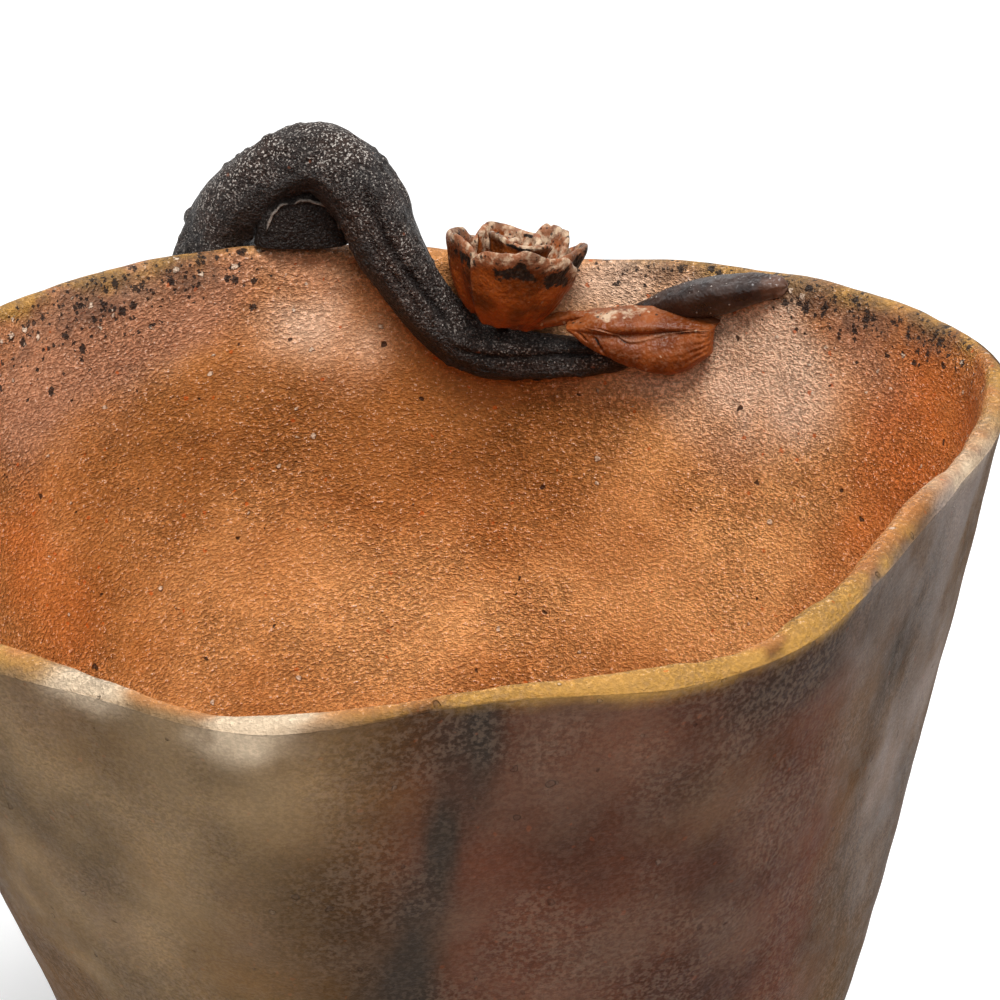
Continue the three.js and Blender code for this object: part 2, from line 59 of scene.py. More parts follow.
# Large whole numbers that scatter the cells of a lattice.
CELL_PRIMES = (374761393, 668265263, 1440662683)
SEED_PRIME = 974711
FOLD_PRIME = 1274126177
# The least and the greatest radius of a grain, as a share of its cell.
GRAIN_RADII = (0.18, 0.5)
# Points that measure a spline, for each row wanted, and points that measure the wall's outline.
SPLINE_STEPS = 20
OUTLINE_STEPS = 2001

log = logging.getLogger("cup")

Array = np.ndarray
Pair = tuple[float, float]
Triple = tuple[float, float, float]
Quad = tuple[float, float, float, float]
Colour = Quad
Socket = bpy.types.NodeSocket
Link = Socket | float | tuple


def srgb(red: int, green: int, blue: int) -> Colour:
    """Turns a screen colour into a linear one.

    Args:
        red: From 0 to 255.
        green: From 0 to 255.
        blue: From 0 to 255.

    Returns:
        The opaque colour that a shader takes.
    """
    screen = np.array([red, green, blue]) / 255.0
    linear = np.where(screen <= 0.04045, screen / 12.92, ((screen + 0.055) / 1.055) ** 2.4)
    return (*(float(channel) for channel in linear), 1.0)


def smoothstep(value: Array, low: float, high: float) -> Array:
    """Rises from 0 at low to 1 at high, level at both ends."""
    share = np.clip((value - low) / (high - low), 0.0, 1.0)
    return share * share * (3.0 - 2.0 * share)


def bell(distance: Array) -> Array:
    """A bell curve: 1 at no distance, 0.61 at a distance of 1."""
    return np.exp(-0.5 * distance**2)


def blend(low: float, high: float, share: Array) -> Array:
    """The value that lies a share of the way from low to high."""
    return low + (high - low) * share


def plateau(value: Array, low: float, full: float, falling: float, high: float) -> Array:
    """Rises from 0 at low to 1 at full and falls from 1 at falling to 0 at high."""
    return smoothstep(value, low, full) * (1.0 - smoothstep(value, falling, high))


def eased(values: tuple[float, ...], place: Array) -> Array:
    """Joins values by steps that are level at both ends.

    Args:
        values: Values set evenly from place 0 to place 1.
        place: Places wanted.

    Returns:
        The value at each place.
    """
    listed = np.array(values)
    run = place * (len(values) - 1)
    step = np.clip(np.floor(run).astype(int), 0, len(values) - 2)
    return blend(listed[step], listed[step + 1], smoothstep(run - step, 0.0, 1.0))


def turn_between(bearing: Array, other: float) -> Array:
    """The turn from one bearing to another, from -180 to 180 degrees."""
    return (bearing - other + 180.0) % 360.0 - 180.0


def unit(vectors: Array) -> Array:
    """Vectors scaled to a length of 1."""
    return vectors / np.linalg.norm(vectors, axis=-1, keepdims=True)


def cell_random(cells: Array, seed: int) -> Array:
    """Gives each whole-numbered cell a repeatable number from 0 to 1.

    Args:
        cells: Cell places, with three whole numbers on the last axis.
        seed: Picks one of many such fields.

    Returns:
        One number for each cell: its steps times large primes, folded over themselves.
    """
    steps = cells.astype(np.int64)
    mixed = sum(steps[..., axis] * prime for axis, prime in enumerate(CELL_PRIMES)) + seed * SEED_PRIME
    mixed = (mixed ^ (mixed >> 13)) * FOLD_PRIME
    mixed = mixed ^ (mixed >> 16)
    return (mixed & 0xFFFFFF) / 0x1000000


def smooth_noise(points: Array, size: float, seed: int) -> Array:
    """Soft bumps and dips from -1 to 1.

    Args:
        points: Places, in millimetres.
        size: Distance between one bump and the next.
        seed: Picks one of many such fields.

    Returns:
        Random values on the corners of a cubic lattice, blended by a fifth-power step between them.
    """
    scaled = points / size
    low = np.floor(scaled)
    share = scaled - low
    share = share**3 * (share * (share * 6.0 - 15.0) + 10.0)
    total = np.zeros(points.shape[:-1])
    for corner in itertools.product((0, 1), repeat=3):
        pick = np.array(corner)
        total += np.prod(np.where(pick, share, 1.0 - share), axis=-1) * cell_random(low + pick, seed)
    return 2.0 * total - 1.0


def rough_noise(points: Array, size: float, seed: int, layers: int = 4) -> Array:
    """Noise with finer noise on it: each layer has half the size and half the height of the last."""
    return sum(smooth_noise(points, size / 2**i, seed + i) / 2**i for i in range(layers))


def grit(points: Array, size: float, seed: int) -> Array:
    """Round grains that stand out of the clay.

    Args:
        points: Places, in millimetres.
        size: Distance between one grain and the next.
        seed: Picks one of many such fields.

    Returns:
        Heights from 0 to about 0.5: each lattice cell holds one sphere of its own size and place, and a
        point takes the height of the tallest sphere over it.
    """
    scaled = points / size
    home = np.floor(scaled)
    height = np.zeros(points.shape[:-1])
    for offset in itertools.product((-1, 0, 1), repeat=3):
        cell = home + np.array(offset)
        centre = cell + np.stack([cell_random(cell, seed + axis) for axis in range(3)], axis=-1)
        radius = blend(*GRAIN_RADII, cell_random(cell, seed + 3) ** 2)
        away = np.linalg.norm(scaled - centre, axis=-1) / radius
        height = np.maximum(height, radius * np.sqrt(np.clip(1.0 - away**2, 0.0, 1.0)))
    return height


@dataclass(frozen=True)
class Relief:
    """Noise that lifts a surface: its height, the size of its bumps, its seed and its layers."""

    height: float
    size: float
    seed: int
    layers: int = 3

    def over(self, points: Array, shift: int = 0) -> Array:
        """How far each point is lifted. A shift of the seed gives a piece bumps of its own."""
        return self.height * rough_noise(points, self.size, self.seed + shift, self.layers)


@dataclass(frozen=True)
class Grains:
    """Grains that stand out of a surface: their height, spacing, seed and how deep they are sunk."""

    height: float
    size: float
    seed: int
    sunk: float

    def over(self, points: Array) -> Array:
        """How far each point is lifted."""
        return self.height * np.clip(grit(points, self.size, self.seed) - self.sunk, 0.0, None)


@dataclass(frozen=True)
class Hump:
    """A bell curve over a line: its height, its middle and its width."""

    height: float
    middle: float
    width: float

    def at(self, value: Array) -> Array:
        """How high the curve is."""
        return self.height * bell((value - self.middle) / self.width)


def on_line(places: Array) -> Array:
    """Points at these places on one line, for noise that changes along that line only."""
    return np.stack([places, 0.0 * places, 0.0 * places], axis=-1)


def bezier(corners: Array, share: Array) -> Array:
    """Points of a cubic Bezier curve.

    Args:
        corners: Its four corners.
        share: Shares of the way along it, from 0 to 1.

    Returns:
        The corners, weighted by powers of the share and of what is left of it.
    """
    first, second, third, last = corners
    share = share[..., None]
    rest = 1.0 - share
    return rest**3 * first + 3 * rest**2 * share * second + 3 * rest * share**2 * third + share**3 * last


def curve_through(stations: Array, rows: int) -> Array:
    """A smooth line through stations.

    Args:
        stations: Rows of x, y, z and any further values that run along the line.
        rows: Number of points wanted.

    Returns:
        Points evenly spaced along a centripetal spline: between two stations a cubic that leaves each with
        the slope that its neighbours give it, weighted by the square roots of the distances.
    """
    padded = np.vstack([2 * stations[0] - stations[1], stations, 2 * stations[-1] - stations[-2]])
    gaps = np.linalg.norm(np.diff(padded[:, :3], axis=0), axis=1) ** 0.5
    place = np.linspace(0.0, len(stations) - 1.0, SPLINE_STEPS * rows)
    step = np.minimum(place.astype(int), len(stations) - 2)
    share = (place - step)[:, None]
    before, start, end, after = (padded[step + i] for i in range(4))
    gap_in, gap, gap_out = (gaps[step + i][:, None] for i in range(3))
    leave = ((start - before) / gap_in - (end - before) / (gap_in + gap)) * gap + end - start
    arrive = ((after - end) / gap_out - (after - start) / (gap + gap_out)) * gap + end - start
    dense = (
        (2 * share**3 - 3 * share**2 + 1) * start + (share**3 - 2 * share**2 + share) * leave
        + (3 * share**2 - 2 * share**3) * end + (share**3 - share**2) * arrive
    )
    run = np.concatenate([[0.0], np.cumsum(np.linalg.norm(np.diff(dense[:, :3], axis=0), axis=1))])
    even = np.linspace(0.0, run[-1], rows)
    return np.stack([np.interp(even, run, column) for column in dense.T], axis=1)


class Cap(Enum):
    """How the ends of a loft are closed."""

    FAN = "fan"
    ZIP = "zip"


@dataclass
class Skin:
    """A closed skin: points in millimetres, faces as corner numbers, and masks that the finishes read."""

    points: Array
    faces: list[list[int]]
    masks: dict[str, Array]

    @classmethod
    def loft(cls, rings: Array, cap: Cap, masks: Mapping[str, Array]) -> "Skin":
        """Closes a stack of rings into a skin whose faces point outward.

        Args:
            rings: Points by row and place round the ring.
            cap: A fan to the middle of each end ring, or a zip across a flat end ring.
            masks: Values by row and place, for the finishes.

        Returns:
            The skin.
        """
        rows, sides = rings.shape[:2]
        index = np.arange(rows * sides).reshape(rows, sides)
        ahead = np.roll(index, -1, axis=1)
        quads = np.stack([index[:-1], ahead[:-1], ahead[1:], index[1:]], axis=-1).reshape(-1, 4)
        points = rings.reshape(-1, 3)
        values = {name: mask.reshape(rows * sides, -1) for name, mask in masks.items()}
        if cap is Cap.FAN:
            points = np.vstack([points, rings[[0, -1]].mean(axis=1)])
            for name, value in values.items():
                ends = value.reshape(rows, sides, -1)[[0, -1]].mean(axis=1)
                values[name] = np.vstack([value, ends])
            pole = np.full(sides, rows * sides)
            first = np.stack([pole, ahead[0], index[0]], axis=-1)
            last = np.stack([pole + 1, index[-1], ahead[-1]], axis=-1)
        else:
            near = np.arange(sides // 2 - 1)
            ladder = np.stack([near, sides - 1 - near, sides - 2 - near, near + 1], axis=-1)
            first = index[0][ladder]
            last = index[-1][ladder[:, ::-1]]
        corners = points[quads]
        volume = np.einsum("ij,ij->", corners[:, 0], np.cross(corners[:, 1], corners[:, 2]))
        volume += np.einsum("ij,ij->", corners[:, 0], np.cross(corners[:, 2], corners[:, 3]))
        faces = [*quads.tolist(), *first.tolist(), *last.tolist()]
        if volume < 0.0:
            faces = [face[::-1] for face in faces]
        return cls(points, faces, values)

    def piece(self, name: str) -> bpy.types.Object:
        """Writes the skin into a mesh object.

        Args:
            name: The object's name.

        Returns:
            A smooth-shaded piece in metres, at the origin, with the masks on its points.
        """
        mesh = bpy.data.meshes.new(name)
        mesh.from_pydata(self.points * MM, [], self.faces)
        mesh.polygons.foreach_set("use_smooth", np.ones(len(mesh.polygons), dtype=bool))
        for mask, values in self.masks.items():
            kind, key = ("FLOAT_COLOR", "color") if values.shape[1] == 4 else ("FLOAT", "value")
            attribute = mesh.attributes.new(mask, kind, "POINT")
            attribute.data.foreach_set(key, values.astype(np.float32).ravel())
        mesh.update()
        piece = bpy.data.objects.new(name, mesh)
        bpy.context.scene.collection.objects.link(piece)
        return piece


def seat(piece: bpy.types.Object, node: str, finish: bpy.types.Material) -> None:
    """Gives a piece its finish, lets it ride on the cup and puts it in the place of its solid.

    Args:
        piece: The piece.
        node: The solid that it stands for.
        finish: Its material.
    """
    piece.data.materials.append(finish)
    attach(piece, ROOT)
    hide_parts(node)
    log.info("%s stands for %s with %d faces", piece.name, node, len(piece.data.polygons))


@dataclass(frozen=True)
class Pinch:
    """Where fingers moved the rim: bearing and reach in degrees, shift outward and upward."""

    bearing: float
    reach: float
    out: float
    up: float


@dataclass(frozen=True)
class Hollow:
    """Where a thumb pressed the wall in, or out if the depth is negative."""

    bearing: float
    height: float
    reach: float
    depth: float


@dataclass(frozen=True)
class Wall:
    """The shape of the cup's wall, which every other piece is seated on."""

    height: float = 70.0
    rim_radius: float = 41.0
    foot_radius: float = 19.5
    belly_swell: float = 6.4
    belly_rise: float = 13.5
    lip_draw: float = 4.9
    lip_drop: float = 27.0
    rim_wall: float = 2.6
    floor_wall: float = 3.4
    pinch_from: float = 20.0
    pinches: tuple[Pinch, ...] = (
        Pinch(21, 14, 2.2, 1.1),
        Pinch(53, 12, 0, 0.4),
        Pinch(83, 14, -1, -1.3),
        Pinch(125, 16, 0, 0.4),
        Pinch(170, 30, 2, 0.4),
        Pinch(222, 15, 1.6, -2.1),
        Pinch(255, 11, 3.2, -1.1),
        Pinch(276, 12, 0, 0.95),
        Pinch(295, 14, 1.5, -0.35),
        Pinch(336, 21, -3.7, 2.2),
    )
    hollows: tuple[Hollow, ...] = (
        Hollow(105, 61, 6, 0.7),
        Hollow(128, 52, 9, -0.7),
        Hollow(88, 47, 8, -0.6),
        Hollow(55, 56, 8, 0.6),
        Hollow(196, 26, 14, 1.2),
    )

    def outer_radius(self, height: Array) -> Array:
        """The outside's radius before pinching.

        Args:
            height: Heights above the foot.

        Returns:
            Radii of a cubic Bezier from the foot over the belly to the lip.
        """
        corners = np.array([
            (self.foot_radius, 0.0),
            (self.foot_radius + self.belly_swell, self.belly_rise),
            (self.rim_radius - self.lip_draw, self.height - self.lip_drop),
            (self.rim_radius, self.height),
        ])
        radii, heights = bezier(corners, np.linspace(0.0, 1.0, OUTLINE_STEPS)).T
        return np.interp(height, heights, radii)

    def inner_radius(self, height: Array) -> Array:
        """The inside's radius at a height: the outside's less a wall that thins toward the rim."""
        share = np.minimum(height / self.height, 1.0)
        return self.outer_radius(height) - blend(self.floor_wall, self.rim_wall, share)

    def pinched(self, bearing: Array, radius: Array, height: Array) -> Array:
        """Moves points of the round shape to where the fingers left them.

        Args:
            bearing: Bearings in degrees.
            radius: Distances from the axis.
            height: Heights above the foot.

        Returns:
            Points: each pinch shifts them outward and upward by a bell curve of the bearing that grows
            toward the rim, and each hollow inward by a bell curve of the distance along the wall.
        """
        share = smoothstep(height, self.pinch_from, self.height)
        out = np.zeros(np.broadcast(bearing, radius, height).shape)
        up = np.zeros_like(out)
        for pinch in self.pinches:
            strength = share * bell(turn_between(bearing, pinch.bearing) / pinch.reach)
            out += strength * pinch.out
            up += strength * pinch.up
        for hollow in self.hollows:
            away = np.radians(turn_between(bearing, hollow.bearing)) * radius
            out -= hollow.depth * bell(np.hypot(away, height - hollow.height) / hollow.reach)
        angle = np.radians(bearing)
        out = np.where(radius > 0.0, out, 0.0)
        moved = (radius + out) * np.cos(angle), (radius + out) * np.sin(angle), height + up
        return np.stack(np.broadcast_arrays(*moved), axis=-1)

    def inside(self, bearing: Array, drop: Array, standoff: Array) -> Array:
        """Points off the inner wall, toward the cup's axis."""
        height = self.height - np.asarray(drop, dtype=float)
        return self.pinched(np.asarray(bearing, dtype=float), self.inner_radius(height) - standoff, height)

    def outside(self, bearing: Array, drop: Array, standoff: Array) -> Array:
        """Points off the outer wall."""
        height = self.height - np.asarray(drop, dtype=float)
        return self.pinched(np.asarray(bearing, dtype=float), self.outer_radius(height) + standoff, height)


class Side(Enum):
    """The side of the wall that a patch of colour lies on."""

    INSIDE = "inside"
    OUTSIDE = "outside"
    BOTH = "both"


class Zone(Enum):
    """Marks that flame, ash and sooting left on the cup. The deeper orange zone also paints shade and the
    pale pink zone a highlight inside, the grey zone on the right of the outside paints a grazing
    reflection, and the sooting zone also darkens the outside toward the foot.
    """

    PLUM = "plum"
    GLOW = "glow"
    OCHRE_AND_SHADE = "ochre_and_shade"
    BLUSH_AND_HIGHLIGHT = "blush_and_highlight"
    EMBER = "ember"
    OLIVE = "olive"
    SOOT_AND_DARK_FOOT = "soot_and_dark_foot"
    RUSSET = "russet"
    SMOKE = "grazing_reflection"
    GOLD = "gold"
    CREAM = "cream"
    CHAR = "char"
    SPAR = "spar"


@dataclass(frozen=True)
class Patch:
    """A soft patch of one colour: its middle, its reach in degrees and in height, and its strength."""

    zone: Zone
    side: Side
    bearing: float
    height: float
    wide: float
    tall: float
    strength: float


def patched(zone: Zone, side: Side, *rows: tuple[float, ...]) -> tuple[Patch, ...]:
    """Patches of one zone on one side, each from its bearing, height, two reaches and strength."""
    return tuple(Patch(zone, side, *row) for row in rows)


@dataclass
class CupBody:
    """The pinched vessel: foot, wall, uneven lip and floor."""

    wall: Wall
    foot_round: float = 1.5
    floor_thickness: float = 5.0
    floor_round: float = 6.0
    pole_share: float = 0.25
    columns: int = 350
    base_rows: int = 14
    round_rows: int = 10
    outer_rows: int = 105
    lip_rows: int = 18
    inner_rows: int = 100
    finger_marks: Relief = Relief(0.42, 17.0, 11, 2)
    lumps: Relief = Relief(0.2, 5.5, 21)
    skin_folds: Relief = Relief(0.05, 1.5, 31, 2)
    fold_draw: Triple = (3.0, 3.0, 1.0)
    lip_wobble: Relief = Relief(0.3, 6.5, 51, 1)
    rim_grit: Grains = Grains(0.5, 3.2, 41, 0.22)
    lip_reach: float = 5.0
    foot_fade: Pair = (0.2, 6.0)
    outside_share: float = 0.45
    outside_inset: float = 0.45
    patches: tuple[Patch, ...] = (
        *patched(Zone.PLUM, Side.INSIDE,
                 (140, 65, 7, 4, 0.8), (146, 61, 5, 6, 0.7), (122, 67, 6, 3, 0.6), (35, 66, 5, 4, 0.7),
                 (116, 68, 12, 3.5, 0.7)),
        *patched(Zone.GLOW, Side.INSIDE,
                 (55, 54, 10, 6, 0.8), (40, 48, 9, 7, 0.8), (88, 40, 22, 5, 0.8), (112, 60, 6, 4, 0.5)),
        # Deeper orange; the patches at heights of 57 and 58 mm also paint a band of shade across the far wall
        # below the branch.
        *patched(Zone.OCHRE_AND_SHADE, Side.INSIDE,
                 (148, 50, 9, 8, 0.45), (97, 57, 9, 4, 0.9), (72, 57, 7, 3, 0.8), (112, 58, 6, 4, 0.8),
                 (128, 55, 10, 6, 0.6), (80, 52, 10, 5, 0.6)),
        # Pale pink near the rim; the patch at bearing 103 also paints the highlight on the swelling below the
        # arch.
        *patched(Zone.BLUSH_AND_HIGHLIGHT, Side.INSIDE,
                 (70, 67, 9, 4, 0.9), (103, 66, 6, 4, 0.55), (50, 64, 8, 5, 1.0), (131, 65, 8, 4, 0.55),
                 (117, 66, 8, 3, 0.4)),
        *patched(Zone.EMBER, Side.INSIDE,
                 (19, 63, 8, 5, 0.9), (31, 56, 6, 9, 0.7), (149, 54, 6, 9, 0.6)),
        *patched(Zone.OLIVE, Side.OUTSIDE,
                 (230, 58, 16, 16, 1.0), (254, 66, 7, 4, 0.6), (130, 48, 30, 18, 0.8)),
        # A dark streak down the front; the wide low patches at bearings 286 and 60 darken the outside toward
        # the foot.
        *patched(Zone.SOOT_AND_DARK_FOOT, Side.OUTSIDE,
                 (274, 66.5, 1.6, 4, 1.0), (270.5, 58, 1.2, 6, 0.9), (267.5, 48, 1.4, 6, 0.95),
                 (265, 38, 2.6, 7, 1.0), (263, 27, 4.5, 9, 1.0), (286, 27, 13, 9, 0.95),
                 (311, 66.5, 13, 3.2, 0.6), (60, 18, 40, 9, 0.6)),
        *patched(Zone.RUSSET, Side.OUTSIDE,
                 (282, 57, 11, 16, 1.0), (306, 49, 14, 18, 1.0), (290, 25, 16, 14, 0.9),
                 (55, 46, 28, 18, 0.8)),
        # Grey patches on the right of the outside: a painted grazing reflection.
        *patched(Zone.SMOKE, Side.OUTSIDE,
                 (340, 58, 12, 16, 0.85), (344, 68, 8, 5, 0.8), (319, 66, 6, 3, 0.7)),
        *patched(Zone.GOLD, Side.BOTH,
                 (136, 70.2, 15, 1.0, 1.6), (54, 70.2, 8, 0.9, 1.1), (285, 70.0, 14, 1.1, 1.0),
                 (310, 70.0, 11, 1.0, 1.0), (15, 70.2, 20, 1.0, 0.9), (200, 70.2, 30, 0.9, 0.9)),
        *patched(Zone.CREAM, Side.BOTH,
                 (238, 69.8, 3, 1.7, 1.0), (254.5, 69.8, 4, 1.9, 1.2), (348, 70, 10, 1.4, 0.6)),
        *patched(Zone.CHAR, Side.INSIDE,
                 (46, 69.4, 3, 1.3, 0.55), (38, 68.4, 3.5, 1.4, 0.45), (28, 69.2, 4, 1.5, 0.6),
                 (62, 69.6, 10, 0.9, 0.45), (120, 69.4, 4, 1.6, 0.5), (131, 68.8, 5, 2.0, 0.4),
                 (142, 68, 7, 2.5, 0.3)),
        *patched(Zone.SPAR, Side.INSIDE,
                 (138, 67.5, 12, 2.5, 0.5), (118, 67, 8, 3, 0.25), (34, 67.5, 14, 2.5, 0.25)),
    )

    def profile(self) -> tuple[Array, Array, Array]:
        """The cup's outline before pinching.

        Returns:
            Points as radius and height from the middle of the foot, up the outside, over the lip as a half
            circle and down to the middle of the floor; how far each lies inside, 0 to 1; and its distance
            along the outline from the top of the lip.
        """
        wall = self.wall
        lip = wall.rim_wall / 2.0
        lip_height = wall.height - lip
        floor_top = self.floor_thickness + self.floor_round
        floor_middle = wall.inner_radius(floor_top) - self.floor_round
        quarter = np.linspace(0.0, math.pi / 2.0, self.round_rows)
        half = np.linspace(0.0, math.pi, self.lip_rows)
        foot_height = self.foot_round * (1.0 - np.cos(quarter))
        outer_height = np.linspace(self.foot_round, lip_height, self.outer_rows)[1:]
        inner_height = np.linspace(lip_height, floor_top, self.inner_rows)[1:]
        foot_inset = self.foot_round * (1.0 - np.sin(quarter))
        flat = wall.outer_radius(np.zeros(1))[0] - self.foot_round
        pole = self.pole_share * flat / self.base_rows
        base = np.linspace(pole, flat, self.base_rows)[:-1]
        floor = np.linspace(floor_middle, pole, self.base_rows)[1:]
        radius = np.concatenate([
            base,
            wall.outer_radius(foot_height) - foot_inset,
            wall.outer_radius(outer_height),
            wall.rim_radius - lip + lip * np.cos(half[1:]),
            wall.inner_radius(inner_height),
            floor_middle + self.floor_round * np.cos(quarter[1:]),
            floor,
        ])
        height = np.concatenate([
            np.zeros_like(base),
            foot_height,
            outer_height,
            lip_height + lip * np.sin(half[1:]),
            inner_height,
            floor_top - self.floor_round * np.sin(quarter[1:]),
            np.full_like(floor, self.floor_thickness),
        ])
        run = np.concatenate([[0.0], np.cumsum(np.hypot(np.diff(radius), np.diff(height)))])
        past_lip = run - run[np.argmax(height)]
        return np.stack([radius, height], axis=-1), smoothstep(past_lip, -lip, lip), np.abs(past_lip)

    def zone_masks(self, bearing: Array, height: Array, inside: Array) -> dict[str, Array]:
        """Adds up the patches of each colour.

        Args:
            bearing: Bearings in degrees.
            height: Heights above the foot.
            inside: How far inside the lip each point lies, 0 to 1.

        Returns:
            Masks by zone: sums of bell curves of bearing and height on the patches' sides.
        """
        shares = {Side.INSIDE: inside, Side.OUTSIDE: 1.0 - inside, Side.BOTH: np.ones_like(inside)}
        masks = {zone.value: np.zeros(np.broadcast(bearing, height).shape) for zone in Zone}
        for patch in self.patches:
            across = turn_between(bearing, patch.bearing) / patch.wide
            spread = bell(np.hypot(across, (height - patch.height) / patch.tall))
            masks[patch.zone.value] += patch.strength * spread * shares[patch.side]
        return masks

    def skin(self, clay: "BodyClay") -> Skin:
        """Pinches the round outline and adds finger marks, lumps, folds and grit along its normals.

        Args:
            clay: The clay that colours the wall.

        Returns:
            The cup's skin. Outside, the marks are shallower and stay below the bare outline.
        """
        outline, past, past_lip = self.profile()
        bearing = np.linspace(0.0, 360.0, self.columns, endpoint=False)[None, :]
        radius, height = outline[:, :1], outline[:, 1:]
        rings = self.wall.pinched(bearing, radius, height)
        inside = past[:, None] + 0.0 * bearing
        round_ahead = np.roll(rings, -1, axis=1) - np.roll(rings, 1, axis=1)
        outward = unit(np.cross(round_ahead, np.gradient(rings, axis=0)))
        near_lip = bell(past_lip / self.lip_reach)[:, None]
        bumps = self.finger_marks.over(rings) + self.lumps.over(rings)
        bumps += self.skin_folds.over(rings / np.array(self.fold_draw))
        bumps += near_lip * (self.rim_grit.over(rings) + self.lip_wobble.over(rings))
        bumps = blend(self.outside_share * bumps - self.outside_inset, bumps, inside)
        bumps *= smoothstep(height, *self.foot_fade)
        masks = self.zone_masks(bearing, height, inside)
        marks = {
            "tint": clay.paint(rings @ OBLIQUE, masks, inside),
            "past_lip": past_lip[:, None] + 0.0 * bearing,
            "char": masks[Zone.CHAR.value],
            "spar": masks[Zone.SPAR.value],
            "inner": inside,
        }
        return Skin.loft(rings + outward * bumps[..., None], Cap.FAN, marks)

    def build(self, clay: "BodyClay", effects: "EffectLibrary") -> None:
        """Makes the cup and dresses it."""
        seat(self.skin(clay).piece("cup_body_clay"), "cup_body", clay.build(effects))


@dataclass(frozen=True)
class Station:
    """A place on a roll of clay: bearing, drop below the rim and diameter."""

    bearing: float
    drop: float
    diameter: float


@dataclass(frozen=True)
class RollGrid:
    """The bare surface of a roll: points, normals, distance along it, share of its length, angle round it
    and radius."""

    points: Array
    normals: Array
    along: Array
    share: Array
    angle: Array
    radius: Array

    def drawn_out(self, stretch: float) -> Array:
        """Pulls the line straight and shortens it, so that noise draws out into fibres.

        Args:
            stretch: How many times the fibres are drawn out.

        Returns:
            The points along the straight line.
        """
        turned = np.radians(self.angle)
        places = self.along / stretch, self.radius * np.cos(turned), self.radius * np.sin(turned)
        return np.stack(np.broadcast_arrays(*places), axis=-1)

    def lifted(self, rise: Array) -> Array:
        """The points moved along their normals."""
        return self.points + self.normals * rise[..., None]


@dataclass(frozen=True)
class Roll:
    """A roll of clay: a tapering round section carried along a smooth line, with rounded ends."""

    stations: Array
    rows: int
    sides: int
    cap_rows: int = 12
    cap_turns: Pair = (0.97, 0.08)

    def grid(self) -> RollGrid:
        """Carries the section along the line.

        Returns:
            The surface: circles square to the line, with angle 0 toward the front of the cup, and quarter
            circles of rows that close both ends.
        """
        line = curve_through(self.stations, self.rows)
        middle, radius = line[:, :3], line[:, 3] / 2.0
        ahead = unit(np.gradient(middle, axis=0))
        turn = np.linspace(*self.cap_turns, self.cap_rows) * math.pi / 2.0
        start = middle[0] - ahead[0] * (radius[0] * np.sin(turn))[:, None]
        end = middle[-1] + ahead[-1] * (radius[-1] * np.sin(turn[::-1]))[:, None]
        middle = np.vstack([start, middle, end])
        radius = np.concatenate([radius[0] * np.cos(turn), radius, radius[-1] * np.cos(turn[::-1])])
        lean = np.concatenate([-np.sin(turn), np.zeros(self.rows), np.sin(turn[::-1])])[:, None, None]
        ahead = np.pad(ahead, ((self.cap_rows, self.cap_rows), (0, 0)), mode="edge")
        front = unit(FRONT - ahead * (ahead @ FRONT)[:, None])
        other = np.cross(ahead, front)
        angle = np.linspace(0.0, 360.0, self.sides, endpoint=False)[None, :]
        turned = np.radians(angle)[..., None]
        outward = front[:, None] * np.cos(turned) + other[:, None] * np.sin(turned)
        steps = np.linalg.norm(np.diff(middle, axis=0), axis=1)
        along = np.concatenate([[0.0], np.cumsum(steps)])[:, None]
        return RollGrid(
            points=middle[:, None] + outward * radius[:, None, None],
            normals=outward * np.sqrt(1.0 - lean**2) + ahead[:, None] * lean,
            along=along,
            share=along / along[-1],
            angle=angle,
            radius=radius[:, None],
        )


@dataclass(frozen=True)
class Groove:
    """A line pressed into a roll: where it starts and ends, its angle there, its depth and its width."""

    start: float
    end: float
    start_angle: float
    end_angle: float
    depth: float
    width: float


